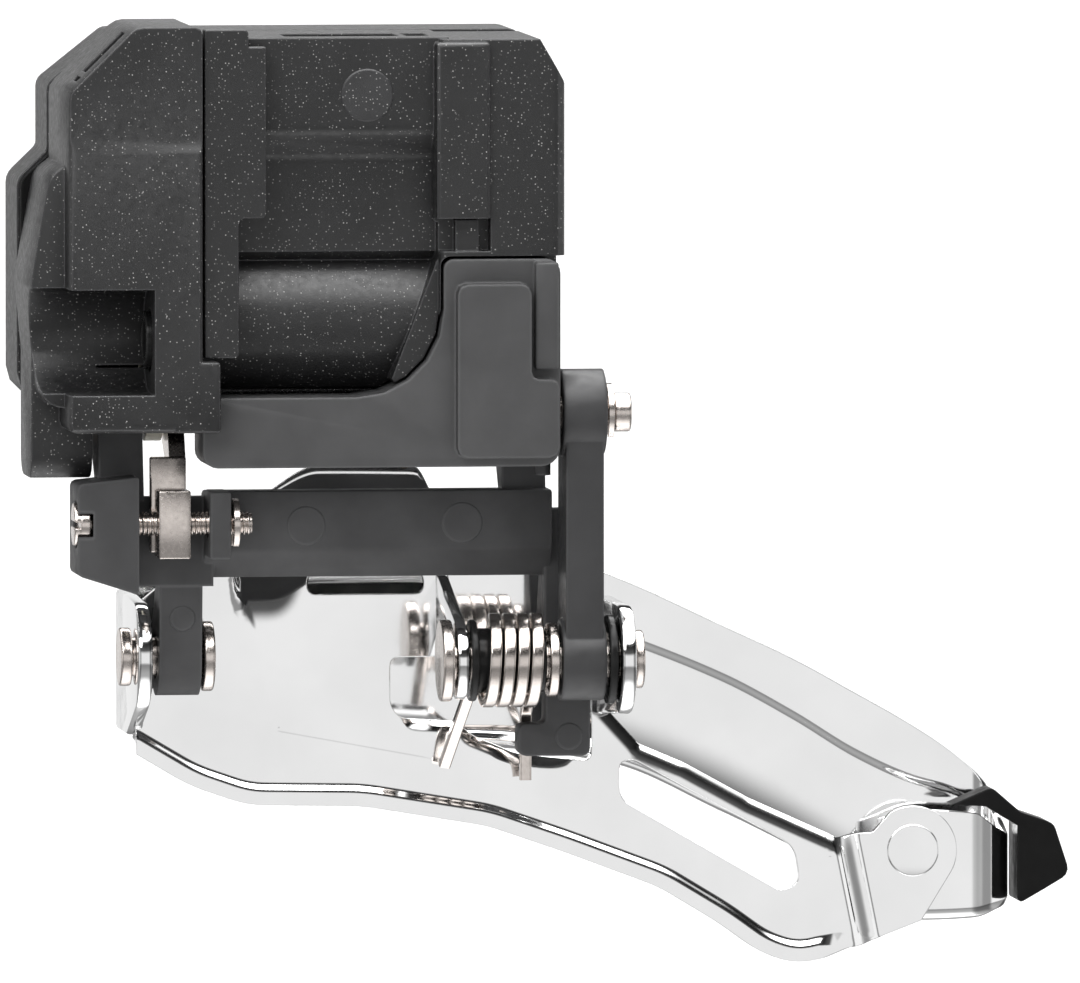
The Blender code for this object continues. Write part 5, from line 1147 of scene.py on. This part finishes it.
def ramp_of(tree, value, stops):
    """Grey that follows stops of (place from 0 to 1, brightness)."""
    ramp = tree.nodes.new("ShaderNodeValToRGB")
    ramp.color_ramp.interpolation = "EASE"
    band = ramp.color_ramp.elements
    while len(band) < len(stops):
        band.new(0.5)
    for element, (at, level) in zip(band, stops):
        element.position = at
        element.color = (level, level, level, 1.0)
    share = tree.nodes.new("ShaderNodeMapRange")
    share.inputs[1].default_value = -1.0
    share.inputs[2].default_value = 1.0
    join(tree, (value, share.inputs[0]), (share.outputs[0], ramp.inputs[0]))
    return ramp.outputs["Color"]


def studio_world(stage):
    """White room for soft light; what shines in the plating is white and dark bands by height and side."""
    world = bpy.data.worlds.new("studio")
    world.use_nodes = True
    tree = world.node_tree
    coord = tree.nodes.new("ShaderNodeTexCoord")
    axes = tree.nodes.new("ShaderNodeSeparateXYZ")
    tree.links.new(coord.outputs["Generated"], axes.inputs[0])
    by_height = ramp_of(tree, axes.outputs["Z"], SHINE_BY_HEIGHT)
    by_side = ramp_of(tree, axes.outputs["X"], SHINE_BY_SIDE)
    both = tree.nodes.new("ShaderNodeMix")
    both.data_type = "RGBA"
    both.blend_type = "MULTIPLY"
    both.inputs[MIX_SHARE].default_value = 1.0
    shine = tree.nodes["Background"]
    shine.inputs["Strength"].default_value = stage.shine_strength
    soft = tree.nodes.new("ShaderNodeBackground")
    soft.inputs["Color"].default_value = WHITE
    soft.inputs["Strength"].default_value = stage.world_strength
    path = tree.nodes.new("ShaderNodeLightPath")
    choose = tree.nodes.new("ShaderNodeMixShader")
    join(tree, (by_height, both.inputs[MIX_A]), (by_side, both.inputs[MIX_B]),
         (both.outputs[MIX_RESULT], shine.inputs["Color"]), (path.outputs["Is Glossy Ray"], choose.inputs[0]),
         (soft.outputs[0], choose.inputs[1]), (shine.outputs[0], choose.inputs[2]),
         (choose.outputs[0], tree.nodes["World Output"].inputs["Surface"]))
    bpy.context.scene.world = world


def soft_panel(name, at, target, size, power):
    """Rectangular soft light at a point, turned to a target."""
    light = bpy.data.lights.new(name, "AREA")
    light.shape = "RECTANGLE"
    light.size, light.size_y = size
    light.energy = power
    item = bpy.data.objects.new(name, light)
    item.location = at
    item.rotation_euler = (Vector(target) - Vector(at)).to_track_quat("-Z", "Y").to_euler()
    bpy.context.scene.collection.objects.link(item)


class DERAILLEUR_OT_stage(bpy.types.Operator):
    """Lays the floor, lights the studio and aims the camera"""

    bl_idname = "derailleur.stage"
    bl_label = "Stage"

    def execute(self, context):
        stage = context.scene.derailleur_stage
        turn, height = stage.turn, stage.height
        right = Vector((math.cos(turn), -math.sin(turn), 0.0))
        level = math.cos(height)
        ahead = Vector((level * math.sin(turn), level * math.cos(turn), -math.sin(height)))
        up = right.cross(ahead)
        target = AIM[0] * right + AIM[1] * up
        camera = bpy.data.cameras.new("camera")
        camera.sensor_width = SENSOR
        camera.lens = SENSOR * stage.distance / stage.width
        camera.clip_end = FAR_CLIP
        item = bpy.data.objects.new("camera", camera)
        turned = Matrix((right, up, -ahead)).transposed()
        item.matrix_world = Matrix.Translation(target - stage.distance * ahead) @ turned.to_4x4()
        context.scene.collection.objects.link(item)
        context.scene.camera = item
        mesh = bpy.data.meshes.new("floor")
        corners = np.array([(-1, -1), (1, -1), (1, 1), (-1, 1)]) * FLOOR_REACH
        mesh.from_pydata([(x, y, -stage.floor_drop) for x, y in corners.tolist()], [], [(0, 1, 2, 3)])
        n = Nodes("finish_floor")
        n.set(Base_Color=n.mix(n.noise(3.0), grey(WHITE, 0.86), grey(WHITE, 0.88)))
        n.set(Roughness=0.9, Emission_Color=WHITE, Emission_Strength=stage.floor_glow)
        mesh.materials.append(n.material)
        floor = bpy.data.objects.new("floor", mesh)
        context.scene.collection.objects.link(floor)
        floor.visible_glossy = False
        studio_world(stage)
        for name, at, size, power in PANELS:
            soft_panel(name, at, LIT_POINT, size, getattr(stage, power))
        context.scene.view_settings.view_transform = "Standard"
        return {"FINISHED"}


class DERAILLEUR_PT_panel(bpy.types.Panel):
    """Sizes, finishes and steps of the derailleur"""

    bl_idname = "DERAILLEUR_PT_panel"
    bl_label = "Front derailleur"
    bl_space_type = "VIEW_3D"
    bl_region_type = "UI"
    bl_category = "Derailleur"

    def draw(self, context):
        layout = self.layout
        for group in SETTINGS:
            settings = getattr(context.scene, group)
            column = layout.column(align=True)
            for key in settings.__class__.__annotations__:
                column.prop(settings, key)
        for step in STEPS:
            layout.operator(step.bl_idname)


SETTINGS = {"derailleur_finish": DerailleurFinish, "derailleur_cage": DerailleurCage,
            "derailleur_wire": DerailleurWire, "derailleur_stage": DerailleurStage}
STEPS = (DERAILLEUR_OT_finishes, DERAILLEUR_OT_inner_plate, DERAILLEUR_OT_outer_plate, DERAILLEUR_OT_pins,
         DERAILLEUR_OT_spring, DERAILLEUR_OT_screw, DERAILLEUR_OT_seal, DERAILLEUR_OT_marks,
         DERAILLEUR_OT_stage)
CLASSES = (*SETTINGS.values(), *STEPS, DERAILLEUR_PT_panel)


def register():
    """Adds the classes and the scene's settings."""
    for item in CLASSES:
        bpy.utils.register_class(item)
    for name, group in SETTINGS.items():
        setattr(bpy.types.Scene, name, PointerProperty(type=group))


def unregister():
    """Removes the settings and the classes."""
    for name in SETTINGS:
        delattr(bpy.types.Scene, name)
    for item in reversed(CLASSES):
        bpy.utils.unregister_class(item)


def main():
    """Builds every piece in order."""
    register()
    for step in STEPS:
        getattr(bpy.ops.derailleur, step.bl_idname.split(".")[1])()


if __name__ == "__main__":
    main()
